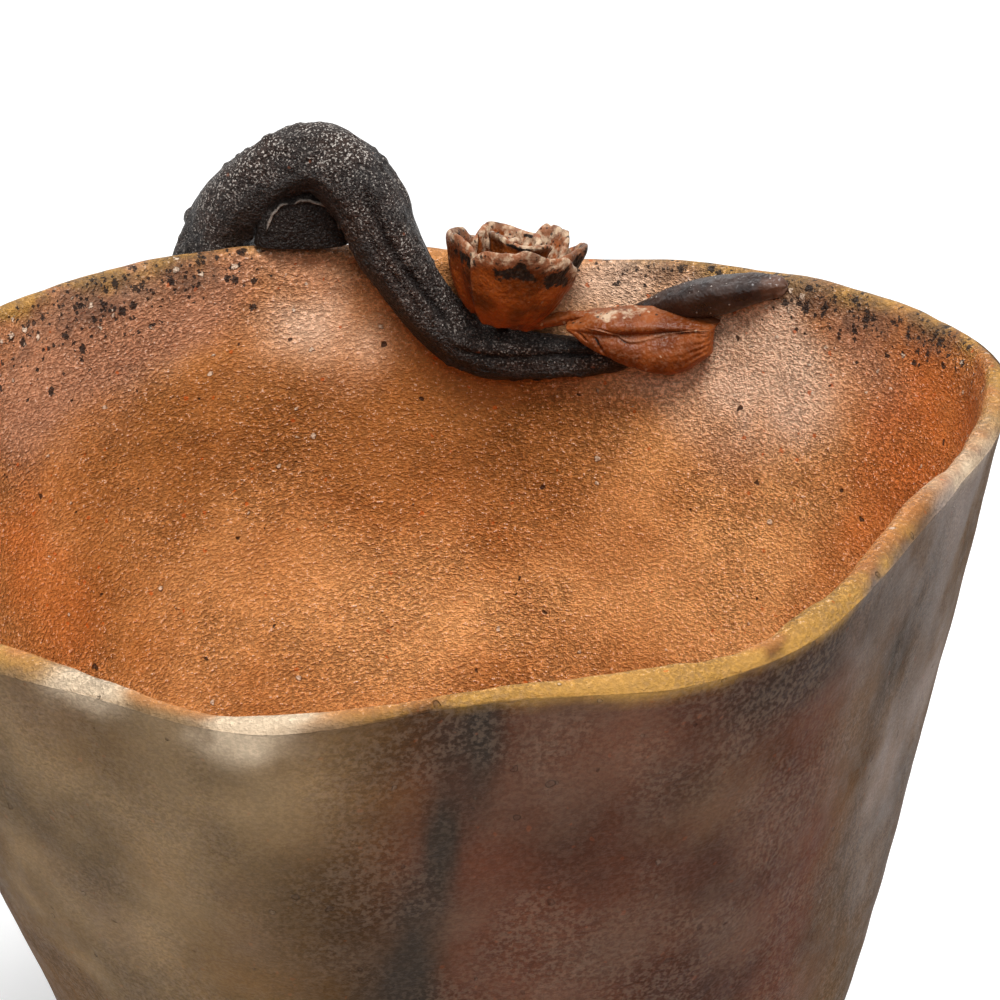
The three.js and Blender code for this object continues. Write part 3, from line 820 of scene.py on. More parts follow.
@dataclass
class Branch:
    """A roll of dark clay that climbs the outside, saddles the rim and sweeps along the inside."""

    wall: Wall
    press: float = 0.5
    arch_diameter: float = 6.2
    arch_rise: float = 4.1
    rows: int = 440
    sides: int = 150
    bark_ridges: int = 4
    bark_depth: float = 0.08
    bark_twist: float = 1.5
    fibres: Relief = Relief(0.1, 0.9, 61)
    fibre_stretch: float = 7.0
    lumps: Relief = Relief(0.12, 2.6, 71, 2)
    grains: Grains = Grains(0.4, 0.75, 91, 0.08)
    knobs: Grains = Grains(1.5, 1.7, 97, 0.22)
    knob_wear: float = 1.6
    most_worn: float = 0.5
    low_salt: float = 0.6
    lit_salt_rise: Pair = (1.0, 8.0)
    lit_salt_facing: Pair = (-0.6, 0.3)
    inset: float = 0.34
    sweep_inset: float = 0.14
    sweep_from: Pair = (0.64, 0.74)
    groove_wander: Relief = Relief(4.0, 4.0, 81, 1)
    groove_fade: Quad = (0.0, 0.15, 0.85, 1.0)
    groove_shade: float = 2.0
    climb: tuple[Station, ...] = (
        Station(128, 40, 8.4), Station(121.5, 31, 7.6), Station(120.5, 16, 7), Station(114.7, 1.5, 6.4),
    )
    shoulders: tuple[Pair, ...] = ((0.2, 0.58), (0.58, 1.0), (0.84, 0.67))
    sweep: tuple[Station, ...] = (
        Station(96.8, -0.6, 5.5), Station(91.9, 3.7, 4.8), Station(88.3, 5.6, 4.5), Station(84.6, 6.5, 4.3),
        Station(76.7, 6.8, 3.8), Station(68.9, 6.7, 3.1), Station(64.5, 5.5, 2.4),
    )
    grooves: tuple[Groove, ...] = (
        Groove(0.66, 0.82, 4, -12, 0.45, 6),
        Groove(0.70, 0.79, 26, 18, 0.14, 5),
        Groove(0.81, 0.95, 30, -14, 0.4, 6),
        Groove(0.86, 0.96, -30, -40, 0.18, 8),
    )

    def stations(self) -> Array:
        """The branch's line.

        Returns:
            Rows of x, y, z and diameter: the climb, the arch over the rim and the sweep inside.
        """
        outer = seated(self.wall.outside, self.climb, self.press)
        inner = seated(self.wall.inside, self.sweep, self.press)
        share, rise = np.array(self.shoulders).T
        arch = blend(outer[-1], inner[0], share[:, None])
        top = self.wall.height + self.arch_rise + self.arch_diameter / 2.0
        arch[:, 2] = blend(arch[:, 2], top, rise)
        arch[:, 3] = self.arch_diameter
        return np.vstack([outer, arch, inner])

    def skin(self) -> Skin:
        """Lifts the roll along its normals.

        Returns:
            The branch: twisted ridges of bark, fibres, lumps, grains and, before the sweep, knobs stand out
            of it, and wandering grooves are pressed into it. The knobs are rubbed pale; salt lies on it, made
            denser as painted light where it faces up and high on the arch; and the grooves are painted dark
            as shade.
        """
        grid = Roll(self.stations(), self.rows, self.sides).grid()
        twisted = np.radians(grid.angle) + 2.0 * math.pi * self.bark_twist * grid.share
        rise = self.bark_depth * np.cos(self.bark_ridges * twisted)
        rise = rise + self.fibres.over(grid.drawn_out(self.fibre_stretch)) + self.lumps.over(grid.points)
        wander = self.groove_wander.over(on_line(grid.along))
        dim = np.zeros_like(rise)
        for groove in self.grooves:
            share = (grid.share - groove.start) / (groove.end - groove.start)
            middle = blend(groove.start_angle, groove.end_angle, share) + wander
            away = turn_between(grid.angle, middle) / groove.width
            pressed = plateau(share, *self.groove_fade) * bell(away)
            rise -= groove.depth * pressed
            # Painted shade: the grooves are darkened through the dim mask.
            dim = np.maximum(dim, self.groove_shade * groove.depth * pressed)
        sweeping = smoothstep(grid.share, *self.sweep_from)
        knobs = self.knobs.over(grid.points) * (1.0 - sweeping)
        rise += self.grains.over(grid.points) + knobs - blend(self.inset, self.sweep_inset, sweeping)
        worn = np.clip(self.knob_wear * knobs / self.knobs.height, 0.0, self.most_worn)
        # Painted light: the salt grows high on the arch and where the roll faces up.
        high = smoothstep(grid.points[..., 2] - self.wall.height, *self.lit_salt_rise)
        salt = blend(self.low_salt, 1.0, high) * smoothstep(grid.normals[..., 2], *self.lit_salt_facing)
        return Skin.loft(grid.lifted(rise), Cap.FAN, {"worn": worn, "salt": salt * (1.0 - dim), "dim": dim})

    def build(self, finish: bpy.types.Material) -> None:
        """Makes the branch and dresses it."""
        seat(self.skin().piece("branch_clay"), "branch", finish)


def seated(
    side: Callable[[Array, Array, Array], Array], stations: tuple[Station, ...], press: float
) -> Array:
    """Seats the stations of a roll on the wall.

    Args:
        side: The wall's inside or outside.
        stations: Places on the roll.
        press: How deep the roll is pressed against the wall.

    Returns:
        Rows of x, y, z and diameter, with the roll's middle half a diameter off the wall, less the press.
    """
    bearing, drop, diameter = np.array([(s.bearing, s.drop, s.diameter) for s in stations]).T
    return np.column_stack([side(bearing, drop, diameter / 2.0 - press), diameter])


@dataclass
class ArchPad:
    """A half-moon of dark clay pressed into the arch, with a raised edge round its face whose top is painted
    pale as a highlight.
    """

    branch: Branch
    length: float = 7.4
    depth: float = 2.6
    forward: float = 1.1
    rise: float = 4.5
    sink: float = 0.3
    clear: float = 0.55
    turn: float = -12.0
    flatness: float = 0.4
    ridge_height: float = 0.3
    ridge_place: float = 0.84
    ridge_width: float = 0.02
    ridge_from: Pair = (0.2, 0.5)
    ridge_wander: Relief = Relief(0.035, 0.8, 99)
    wander_circle: float = 3.0
    lumps: Relief = Relief(0.1, 1.5, 101)
    grains: Grains = Grains(0.2, 0.75, 95, 0.08)
    ridge_highlight: float = 1.2
    even_highlight: float = 0.7
    patchy_highlight: Relief = Relief(0.6, 1.0, 103, 2)
    salt: float = 0.12
    dim: float = 0.9
    polar_reach: Pair = (0.02, 0.98)
    rows: int = 90
    sides: int = 160

    def skin(self) -> Skin:
        """Shapes the pad.

        Returns:
            A flattened sphere, full above its base line and flat below it, with grains and a ridge that is
            painted pale as a highlight; its face is darkened all over.
        """
        wall = self.branch.wall
        stations = self.branch.stations()
        start, end = stations[len(self.branch.climb) - 1, :3], stations[-len(self.branch.sweep), :3]
        middle = (start + end) / 2.0
        bearing = np.degrees(np.arctan2(middle[1], middle[0]))
        height = np.array(wall.height + self.clear)
        centre = wall.pinched(bearing, np.array(wall.rim_radius - wall.rim_wall / 2.0), height)
        facing = math.radians(bearing - 90.0 + self.turn)
        right = np.array([math.cos(facing), math.sin(facing), 0.0])
        away = np.cross(UP, right)
        polar = np.linspace(*self.polar_reach, self.rows)[:, None] * math.pi
        turned = np.linspace(0.0, 2.0 * math.pi, self.sides, endpoint=False)[None, :]
        reach = np.sin(polar) ** self.flatness
        across = reach * np.cos(turned) * self.length / 2.0
        lift = reach * np.sin(turned) * np.where(np.sin(turned) > 0.0, self.rise, self.sink)
        circle = self.wander_circle * np.stack([np.cos(turned), np.sin(turned), 0.0 * turned], axis=-1)
        place = self.ridge_place + self.ridge_wander.over(circle)
        ridge = bell((reach - place) / self.ridge_width) * smoothstep(np.sin(turned), *self.ridge_from)
        ridge = ridge * (polar < math.pi / 2.0)
        face = -np.cos(polar) * self.depth / 2.0 - self.ridge_height * ridge - self.forward
        rings = centre + across[..., None] * right + lift[..., None] * UP + face[..., None] * away
        rise = self.lumps.over(rings) + self.grains.over(rings)
        rings = rings + unit(rings - centre) * rise[..., None]
        # Painted highlight: the top of the ridge is painted pale.
        worn = self.ridge_highlight * ridge * (self.even_highlight + self.patchy_highlight.over(rings))
        masks = {"worn": worn, "salt": np.full_like(worn, self.salt), "dim": np.full_like(worn, self.dim)}
        return Skin.loft(rings, Cap.FAN, masks)

    def build(self, finish: bpy.types.Material) -> None:
        """Makes the pad and dresses it."""
        seat(self.skin().piece("arch_pad_clay"), "arch_pad", finish)


@dataclass
class TwigTip:
    """A smooth spindle of dark clay that lies along the inner wall beyond the leaf."""

    wall: Wall
    press: float = 0.4
    rows: int = 150
    sides: int = 96
    facets: int = 5
    facet_depth: float = 0.05
    lines: Relief = Relief(0.04, 0.7, 111, 2)
    line_stretch: float = 5.0
    dents: Relief = Relief(0.07, 2.2, 121)
    dots: Hump = Hump(1.0, 0.45, 0.2)
    dot_glint_facing: Pair = (0.2, 0.8)
    places: tuple[Station, ...] = (
        Station(66, 3.6, 1.3), Station(61.5, 2.7, 2.4), Station(56.5, 1.8, 3.1), Station(51.5, 0.85, 2.35),
        Station(48.9, 0.55, 1.7),
    )

    def skin(self) -> Skin:
        """Lifts the roll along its normals.

        Returns:
            The twig, with soft lengthwise facets, dents and fine lines, and pale dots on its upper side that
            paint glints.
        """
        grid = Roll(seated(self.wall.inside, self.places, self.press), self.rows, self.sides).grid()
        rise = self.facet_depth * np.cos(self.facets * np.radians(grid.angle))
        rise = rise + self.lines.over(grid.drawn_out(self.line_stretch)) + self.dents.over(grid.points)
        # Painted glints: the dots lie on the upper side.
        dots = self.dots.at(grid.share) * smoothstep(grid.normals[..., 2], *self.dot_glint_facing)
        return Skin.loft(grid.lifted(rise), Cap.FAN, {"share": grid.share + 0.0 * rise, "dots": dots})

    def build(self, finish: bpy.types.Material) -> None:
        """Makes the twig and dresses it."""
        seat(self.skin().piece("twig_tip_clay"), "twig_tip", finish)


def rounded_edge(place: Array, share: float) -> Array:
    """The thickness near both edges of a slab: a half circle over a share of the width, and 1 between."""
    return np.sqrt(1.0 - np.clip(1.0 - np.minimum(place, 1.0 - place) / share, 0.0, 1.0) ** 2)


@dataclass(frozen=True)
class SlabGrid:
    """Parameters of a closed slab by row and place: how far across, along and below the face."""

    across: Array
    along: Array
    depth: Array

    @classmethod
    def make(cls, rows: int, sides: int, edge: float, lip: float) -> "SlabGrid":
        """Runs rings round a slab, over its face and back under it.

        Args:
            rows: Rings from one end to the other, closer together at the ends.
            sides: Points round each ring, closer together at the edges.
            edge: Share of the width that rounds off each edge.
            lip: Share of the length that rounds off each end.

        Returns:
            Parameters by row and place: across and along from 0 to 1, and depth from 0 on the face to 1 on
            the back.
        """
        turn = (np.arange(sides) + 0.5) * 2.0 * math.pi / sides
        place = (np.arange(rows) + 0.5) * math.pi / rows
        across = (1.0 - np.cos(turn))[None, :] / 2.0
        along = (1.0 - np.cos(place))[:, None] / 2.0
        face = np.sign(np.sin(turn))[None, :] * rounded_edge(across, edge) * rounded_edge(along, lip)
        wide = np.ones_like(face)
        return cls(across * wide, along * wide, (1.0 - face) / 2.0)


@dataclass
class Leaf:
    """A folded leaf with a midrib, pressed over the end of the branch, and the stalk that runs to it."""

    wall: Wall
    bearing: float = 74.0
    length: float = 12.1
    drop: float = 3.5
    end_drop: float = 4.3
    sag: float = 0.4
    stalk_half: float = 0.8
    stalk_share: float = 0.25
    stalk_taper: Pair = (-0.02, 0.17)
    upper_tip_half: float = 0.4
    lower_tip_half: float = 1.9
    upper: float = 1.0
    lower: float = 1.9
    upper_skew: float = 0.95
    lower_skew: float = 1.85
    outline: Relief = Relief(0.05, 1.6, 131, 2)
    lobes_apart: float = 40.0
    edge_share: float = 0.07
    end_share: float = 0.03
    thickness: float = 1.5
    standoff: float = 4.6
    end_standoff: float = 2.2
    bulge: float = 0.75
    upper_lean: float = 0.9
    lower_lean: float = 0.3
    step_down: Pair = (0.2, 0.9)
    crease: tuple[float, ...] = (0.6, 0.35, -0.15, 0.0, 0.4)
    creased_from: Pair = (0.12, 0.34)
    groove: Hump = Hump(0.12, 0.06, 0.03)
    rib: Hump = Hump(0.13, 0.0, 0.035)
    vein_depth: float = 0.26
    vein_width: float = 0.012
    vein_fade: Quad = (0.1, 0.3, 0.75, 1.0)
    wrinkle: float = 0.045
    wrinkle_count: float = 5.0
    wrinkle_skew: float = 3.0
    wrinkled_from: Pair = (0.72, 1.0)
    ash_side: Pair = (0.35, 0.9)
    ash_along: Hump = Hump(1.0, 0.32, 0.2)
    pale_edge: float = 0.7
    pale_edge_from: Pair = (0.93, 1.0)
    rib_highlight: Hump = Hump(0.9, 0.0, 0.03)
    groove_shadow: Hump = Hump(0.8, -0.07, 0.025)
    rows: int = 170
    sides: int = 200
    stalk_rows: int = 90
    stalk_sides: int = 48
    stalk_lumps: Relief = Relief(0.12, 1.1, 141)
    stalk_ridges: int = 3
    stalk_ridge_height: float = 0.08
    stalk_highlight: float = 0.6
    stalk_highlight_angle: float = -60.0
    stalk_highlight_reach: float = 35.0
    stalk_diameters: Pair = (1.35, 0.75)
    stalk_standoff: float = 3.4
    stalk_from: Pair = (79.8, 3.5)
    stalk_to: Pair = (71.5, 2.9)
    veins: tuple[Triple, ...] = ((0.10, -0.55, 0.08), (0.22, -0.85, 0.1))

    def blade(self) -> Skin:
        """Bends a slab over the wall.

        Returns:
            The leaf: its midrib runs along the wall and sags a little, two lobes swell by a skewed half sine
            on either side and bulge off the wall, and it narrows toward the stalk. A raised rib lies
            between two grooves, veins are cut across the lobes and the far end is wrinkled. The rib is
            painted pale as a highlight, and the veins and a thin line beside the rib are painted dark as
            shade.
        """
        grid = SlabGrid.make(self.rows, self.sides, self.edge_share, self.end_share)
        along, side = grid.along, 2.0 * grid.across - 1.0
        upper = side > 0.0
        wall_radius = self.wall.inner_radius(self.wall.height - self.drop)
        bearing = self.bearing - np.degrees(along * self.length / wall_radius)
        plump = np.sin(math.pi * along ** np.where(upper, self.upper_skew, self.lower_skew))
        tip = np.where(upper, self.upper_tip_half, self.lower_tip_half)
        half = blend(self.stalk_half, tip, along) + np.where(upper, self.upper, self.lower) * plump
        places = np.stack([along * self.length, self.lobes_apart * upper, 0.0 * along], axis=-1)
        half = half * (1.0 + self.outline.over(places))
        half = half * blend(self.stalk_share, 1.0, smoothstep(along, *self.stalk_taper))
        midrib = blend(self.drop, self.end_drop, along) + self.sag * np.sin(math.pi * along)
        rise = self.bulge * plump * np.sin(math.pi * np.abs(side))
        fold = side - eased(self.crease, along)
        creased = smoothstep(along, *self.creased_from)
        rise += creased * (self.rib.at(fold) - self.groove.at(np.abs(fold)))
        cut = np.zeros_like(rise)
        for start, reach, lean in self.veins:
            middle = start + lean * np.clip(side / reach, 0.0, 1.0)
            vein = plateau(side / reach, *self.vein_fade) * bell((along - middle) / self.vein_width)
            cut = np.maximum(cut, vein)
        rise -= self.vein_depth * cut
        folds = np.sin(2.0 * math.pi * self.wrinkle_count * side + self.wrinkle_skew * along)
        rise += self.wrinkle * folds * smoothstep(along, *self.wrinkled_from)
        lean = np.where(upper, self.upper_lean, self.lower_lean) * side**2
        standoff = blend(self.standoff, self.end_standoff, smoothstep(along, *self.step_down))
        standoff = standoff + rise - lean - grid.depth * self.thickness
        rings = self.wall.inside(bearing, midrib - side * half, standoff)
        face = 1.0 - grid.depth
        ash = smoothstep(side, *self.ash_side) * self.ash_along.at(along)
        # Painted highlight on the rib through the edge mask; a painted shadow line beside it and the vein
        # cuts go into the cut mask as painted shade.
        rim = self.pale_edge * smoothstep(np.abs(side), *self.pale_edge_from)
        edge = np.maximum(rim, creased * self.rib_highlight.at(fold))
        cut = np.maximum(cut, creased * self.groove_shadow.at(fold))
        return Skin.loft(rings, Cap.ZIP, {"ash": ash * face, "edge": edge * face, "cut": cut * face})

    def stalk(self) -> Skin:
        """Rolls the stalk.

        Returns:
            A thin roll from the flower to the leaf, with soft ridges and lumps, and a pale painted highlight
            along its upper side, laid as ash.
        """
        share = np.array([0.0, 0.5, 1.0])
        bearing = blend(self.stalk_from[0], self.stalk_to[0], share)
        drop = blend(self.stalk_from[1], self.stalk_to[1], share)
        points = self.wall.inside(bearing, drop, self.stalk_standoff)
        stations = np.column_stack([points, blend(*self.stalk_diameters, share)])
        grid = Roll(stations, self.stalk_rows, self.stalk_sides).grid()
        ridges = np.cos(np.radians(self.stalk_ridges * grid.angle))
        rise = self.stalk_lumps.over(grid.points) + self.stalk_ridge_height * ridges
        bare = np.zeros_like(rise)
        # Painted highlight: pale along the stalk's upper side.
        away = turn_between(grid.angle, self.stalk_highlight_angle) / self.stalk_highlight_reach
        ash = self.stalk_highlight * bell(away) + bare
        return Skin.loft(grid.lifted(rise), Cap.FAN, {"ash": ash, "edge": bare, "cut": bare})

    def build(self, finish: bpy.types.Material) -> None:
        """Makes the leaf and its stalk and dresses them."""
        seat(self.blade().piece("leaf_clay_blade"), "leaf", finish)
        seat(self.stalk().piece("leaf_stalk_clay"), "leaf_stalk", finish)


@dataclass(frozen=True)
class Blot:
    """A patch of char on a petal: its place across and along, and its reach both ways."""

    across: float
    along: float
    wide: float
    tall: float


@dataclass(frozen=True)
class Petal:
    """A petal: its edges in degrees from the front round by the right, their layers, how far its lip drops
    from one edge to the other, how far it opens, the ash on its lip and inside, and its char."""

    node: str
    start: float
    end: float
    layers: Pair
    lip: tuple[float, ...]
    opening: float = 0.0
    ash: float = 0.7
    inner_ash: float = 0.0
    blots: tuple[Blot, ...] = ()


@dataclass(frozen=True)
class BowlLine:
    """A meridian of the flower's bowl: a cubic Bezier of four points, each a radius and a height."""

    corners: tuple[Pair, ...]

    def at(self, share: Array) -> tuple[Array, Array]:
        """Follows the meridian.

        Args:
            share: Shares of the way along it, from 0 to 1.

        Returns:
            Its points and its directions there.
        """
        first, second, third, last = np.array(self.corners)
        ahead = share[..., None]
        rest = 1.0 - ahead
        slope = rest**2 * (second - first) + 2 * rest * ahead * (third - second) + ahead**2 * (last - third)
        return bezier(np.array(self.corners), share), unit(slope)


@dataclass
class Flower:
    """Petals pressed into a bowl round a pellet, leaning back over the rim, with a heart in the middle."""

    wall: Wall
    branch: Branch
    bearing: float = 83.3
    drop: float = 3.7
    standoff: float = 4.0
    lean: float = 9.0
    tilt: float = 10.0
    slip_gap: float = 0.3
    pellet_radius: float = 1.2
    pellet_height: float = 3.4
    stub_back: float = 0.9
    bowl_start: float = 1.4
    bowl_belly: Pair = (3.2, 2.4)
    bowl_shoulder: Pair = (4.0, 4.0)
    bowl_radius: float = 4.4
    bowl_height: float = 8.0
    petal_thickness: float = 0.8
    inner_thickness: float = 0.6
    inner_spread: float = 0.5
    edge_share: float = 0.05
    lip_flare: float = 0.25
    lip_bead: Hump = Hump(0.08, 0.93, 0.05)
    lip_thinning: float = 0.5
    thin_from: Pair = (0.45, 1.0)
    layer_change: Pair = (0.36, 0.64)
    lip_run: float = 9.0
    lip_teeth: Relief = Relief(0.22, 2.0, 651)
    lip_curl: Relief = Relief(0.25, 3.0, 656, 2)
    folds: Relief = Relief(0.07, 0.9, 660)
    fold_draw: Pair = (4.0, 2.0)
    seed_step: int = 20
    pale_lip: Pair = (0.84, 0.96)
    pale_inside: Pair = (0.4, 0.7)
    lip_char: float = 0.35
    pellet_widths: tuple[float, ...] = (0.4, 0.5, 0.9)
    pellet_lumps: Relief = Relief(0.12, 1.0, 151)
    pellet_shade: float = 2.0
    heart_radius: float = 0.6
    heart_foot_radius: float = 0.5
    heart_height: float = 3.8
    heart_lumps: Relief = Relief(0.1, 0.8, 161)
    heart_pale: Pair = (0.7, 1.0)
    rows: int = 90
    sides: int = 180
    pellet_grid: tuple[int, int] = (60, 60)
    heart_grid: tuple[int, int] = (50, 40)
    outer: tuple[Petal, ...] = (
        Petal("petal_front", -32, 86, (1, 1), (1.4, 0.5, 0.4, 0.3, 0.6, 0.45, 0.9, 2.2), 0.2, 0.85,
              blots=(Blot(0.35, 0.84, 0.16, 0.08), Blot(0.69, 0.83, 0.13, 0.1))),
        Petal("petal_right", 60, 128, (0, 1), (1.0, 0.3, 0.0, 0.3, 0.8), 0.3, 0.5, 0.9,
              (Blot(0.5, 0.85, 0.3, 0.12),)),
        Petal("petal_back_right", 104, 175, (0, 0), (1.0, 0.1, 0.0, 0.3, 1.0), 0.25, 0.8, 0.85),
        Petal("petal_back_left", 184, 240, (0, 0), (1.3, 0.7, 0.8, 1.4), 0.2, 0.7, 0.85),
        Petal("petal_left", 216, 334, (1, 0), (1.6, 1.2, 1.0, 1.0, 1.1, 1.5), 0.1, 0.75,
              blots=(Blot(0.75, 0.85, 0.2, 0.06),)),
    )
    inner: tuple[Petal, ...] = (
        Petal("petal_inner_front", -110, 95, (0, 1), (1.4, 0.8, 0.6, 0.9, 0.7, 1.4), 0.0, 0.85, 0.9,
              blots=(Blot(0.6, 0.93, 0.12, 0.04),)),
        Petal("petal_inner_back", 70, 275, (0, 1), (1.4, 0.7, 0.9, 0.6, 1.4), 0.0, 0.85, 0.9,
              blots=(Blot(0.4, 0.93, 0.15, 0.04),)),
    )

    def placed(self, points: Array) -> Array:
        """Moves points to the flower's seat on the wall.

        Args:
            points: Points in the flower's own frame: x right, y away and z along it.

        Returns:
            The points, leant back over the rim, tilted to the right and shifted.
        """
        angle = math.radians(self.bearing)
        outward = np.array([math.cos(angle), math.sin(angle), 0.0])
        right = np.cross(outward, UP)
        lean, tilt = math.radians(self.lean), math.radians(self.tilt)
        leaning = UP * math.cos(lean) + outward * math.sin(lean)
        away = np.cross(leaning, right)
        upward = leaning * math.cos(tilt) + right * math.sin(tilt)
        frame_axes = np.stack([np.cross(away, upward), away, upward])
        return points @ frame_axes + self.wall.inside(self.bearing, self.drop, self.standoff)

    def petal(self, shape: Petal, line: BowlLine, thickness: float, shift: int) -> Skin:
        """Bends a slab into a stretch of the bowl.

        Args:
            shape: The petal.
            line: The meridian that it follows.
            thickness: Its thickness.
            shift: Shifts the seeds, so that its irregularities are its own.

        Returns:
            The petal: its angle runs with the place across, its share of the meridian with the place along,
            less the drop and ragged noise of its lip; it is offset along the meridian's normal by its layer,
            opens, thins and beads at the lip and is wrinkled lengthwise.
        """
        grid = SlabGrid.make(self.rows, self.sides, self.edge_share, self.edge_share)
        across, along = grid.across, grid.along
        lip_line = on_line(across * self.lip_run)
        drop = eased(shape.lip, across) + self.lip_teeth.over(lip_line, shift)
        share = along * (1.0 - drop / self.bowl_height)
        spot, ahead = line.at(np.clip(share, 0.0, 1.0))
        layer = blend(*shape.layers, smoothstep(across, *self.layer_change))
        flare = self.lip_flare + shape.opening * np.sin(math.pi * across)
        thinned = thickness * (1.0 - self.lip_thinning * smoothstep(along, *self.thin_from))
        offset = (thickness + self.slip_gap) * layer + flare * share**4 - thinned * grid.depth
        offset += self.lip_bead.at(along) * (1.0 - 2.0 * grid.depth)
        angle = np.radians(blend(shape.start, shape.end, across))
        fold_places = np.stack([angle * self.fold_draw[0], share * self.fold_draw[1], 0.0 * share], axis=-1)
        offset += self.lip_curl.over(lip_line, shift) * share**3 + self.folds.over(fold_places, shift)
        radius = spot[..., 0] + ahead[..., 1] * offset
        height = spot[..., 1] - ahead[..., 0] * offset
        points = np.stack([radius * np.sin(angle), -radius * np.cos(angle), height], axis=-1)
        lip = smoothstep(along, *self.pale_lip)
        inner = shape.inner_ash * grid.depth * smoothstep(along, *self.pale_inside)
        char = self.lip_char * lip
        for blot in shape.blots:
            away = np.hypot((across - blot.across) / blot.wide, (along - blot.along) / blot.tall)
            char = np.maximum(char, bell(away))
        masks = {"ash": np.maximum(shape.ash * lip, inner), "edge": lip, "cut": char}
        return Skin.loft(self.placed(points), Cap.ZIP, masks)

    def pellet(self) -> Skin:
        """Rolls the pellet that the petals are pressed on.

        Returns:
            A lumpy roll, drawn out into a stub that reaches the branch, and painted dark all over as the
            shade it sits in.
        """
        before, after = self.branch.sweep[3], self.branch.sweep[4]
        share = (before.bearing - self.bearing) / (before.bearing - after.bearing)
        drop = blend(before.drop, after.drop, share)
        seated_at = blend(before.diameter, after.diameter, share) / 2.0 - self.branch.press - self.stub_back
        foot = self.wall.inside(self.bearing, drop, seated_at)
        heart = self.placed(np.array([0.0, self.stub_back, self.pellet_radius]))
        top = self.placed(np.array([0.0, 0.0, self.pellet_height - self.slip_gap - self.pellet_radius]))
        width = 2.0 * self.pellet_radius * np.array(self.pellet_widths)
        grid = Roll(np.column_stack([np.stack([foot, heart, top]), width]), *self.pellet_grid).grid()
        rings = grid.lifted(self.pellet_lumps.over(grid.points))
        bare = np.zeros(rings.shape[:2])
        # Painted shade: the whole pellet is painted dark.
        return Skin.loft(rings, Cap.FAN, {"ash": bare, "edge": bare, "cut": bare + self.pellet_shade})

    def heart(self) -> Skin:
        """Rolls the heart.

        Returns:
            A small lumpy roll in the middle of the flower, with a pale top.
        """
        low = np.array([0.0, 0.0, self.pellet_height + self.heart_foot_radius])
        high = np.array([0.0, 0.0, self.pellet_height + self.heart_height - self.heart_radius])
        ends = self.placed(np.stack([low, (low + high) / 2.0, high]))
        width = 2.0 * np.linspace(self.heart_foot_radius, self.heart_radius, 3)
        grid = Roll(np.column_stack([ends, width]), *self.heart_grid).grid()
        rings = grid.lifted(self.heart_lumps.over(grid.points))
        bare = np.zeros(rings.shape[:2])
        ash = smoothstep(grid.share, *self.heart_pale) + bare
        return Skin.loft(rings, Cap.FAN, {"ash": ash, "edge": bare, "cut": bare})

    def build(self, finish: bpy.types.Material) -> None:
        """Makes the pellet, the heart and every petal, and dresses them.

        Args:
            finish: The flower's clay.
        """
        bowl = BowlLine(((self.pellet_radius + self.slip_gap, self.bowl_start), self.bowl_belly,
                         self.bowl_shoulder, (self.bowl_radius, self.bowl_height)))
        ring = self.heart_radius + self.slip_gap + self.inner_thickness
        bud = BowlLine(tuple(
            (ring + self.inner_spread * step, blend(self.pellet_height, self.bowl_height, step))
            for step in (0.0, 1.0 / 3.0, 2.0 / 3.0, 1.0)
        ))
        seat(self.pellet().piece("flower_base_clay"), "flower_base", finish)
        seat(self.heart().piece("flower_heart_clay"), "flower_heart", finish)
        petals = [(shape, bowl, self.petal_thickness) for shape in self.outer]
        petals += [(shape, bud, self.inner_thickness) for shape in self.inner]
        for number, (shape, line, thickness) in enumerate(petals):
            skin = self.petal(shape, line, thickness, self.seed_step * number)
            seat(skin.piece(f"{shape.node}_clay"), shape.node, finish)


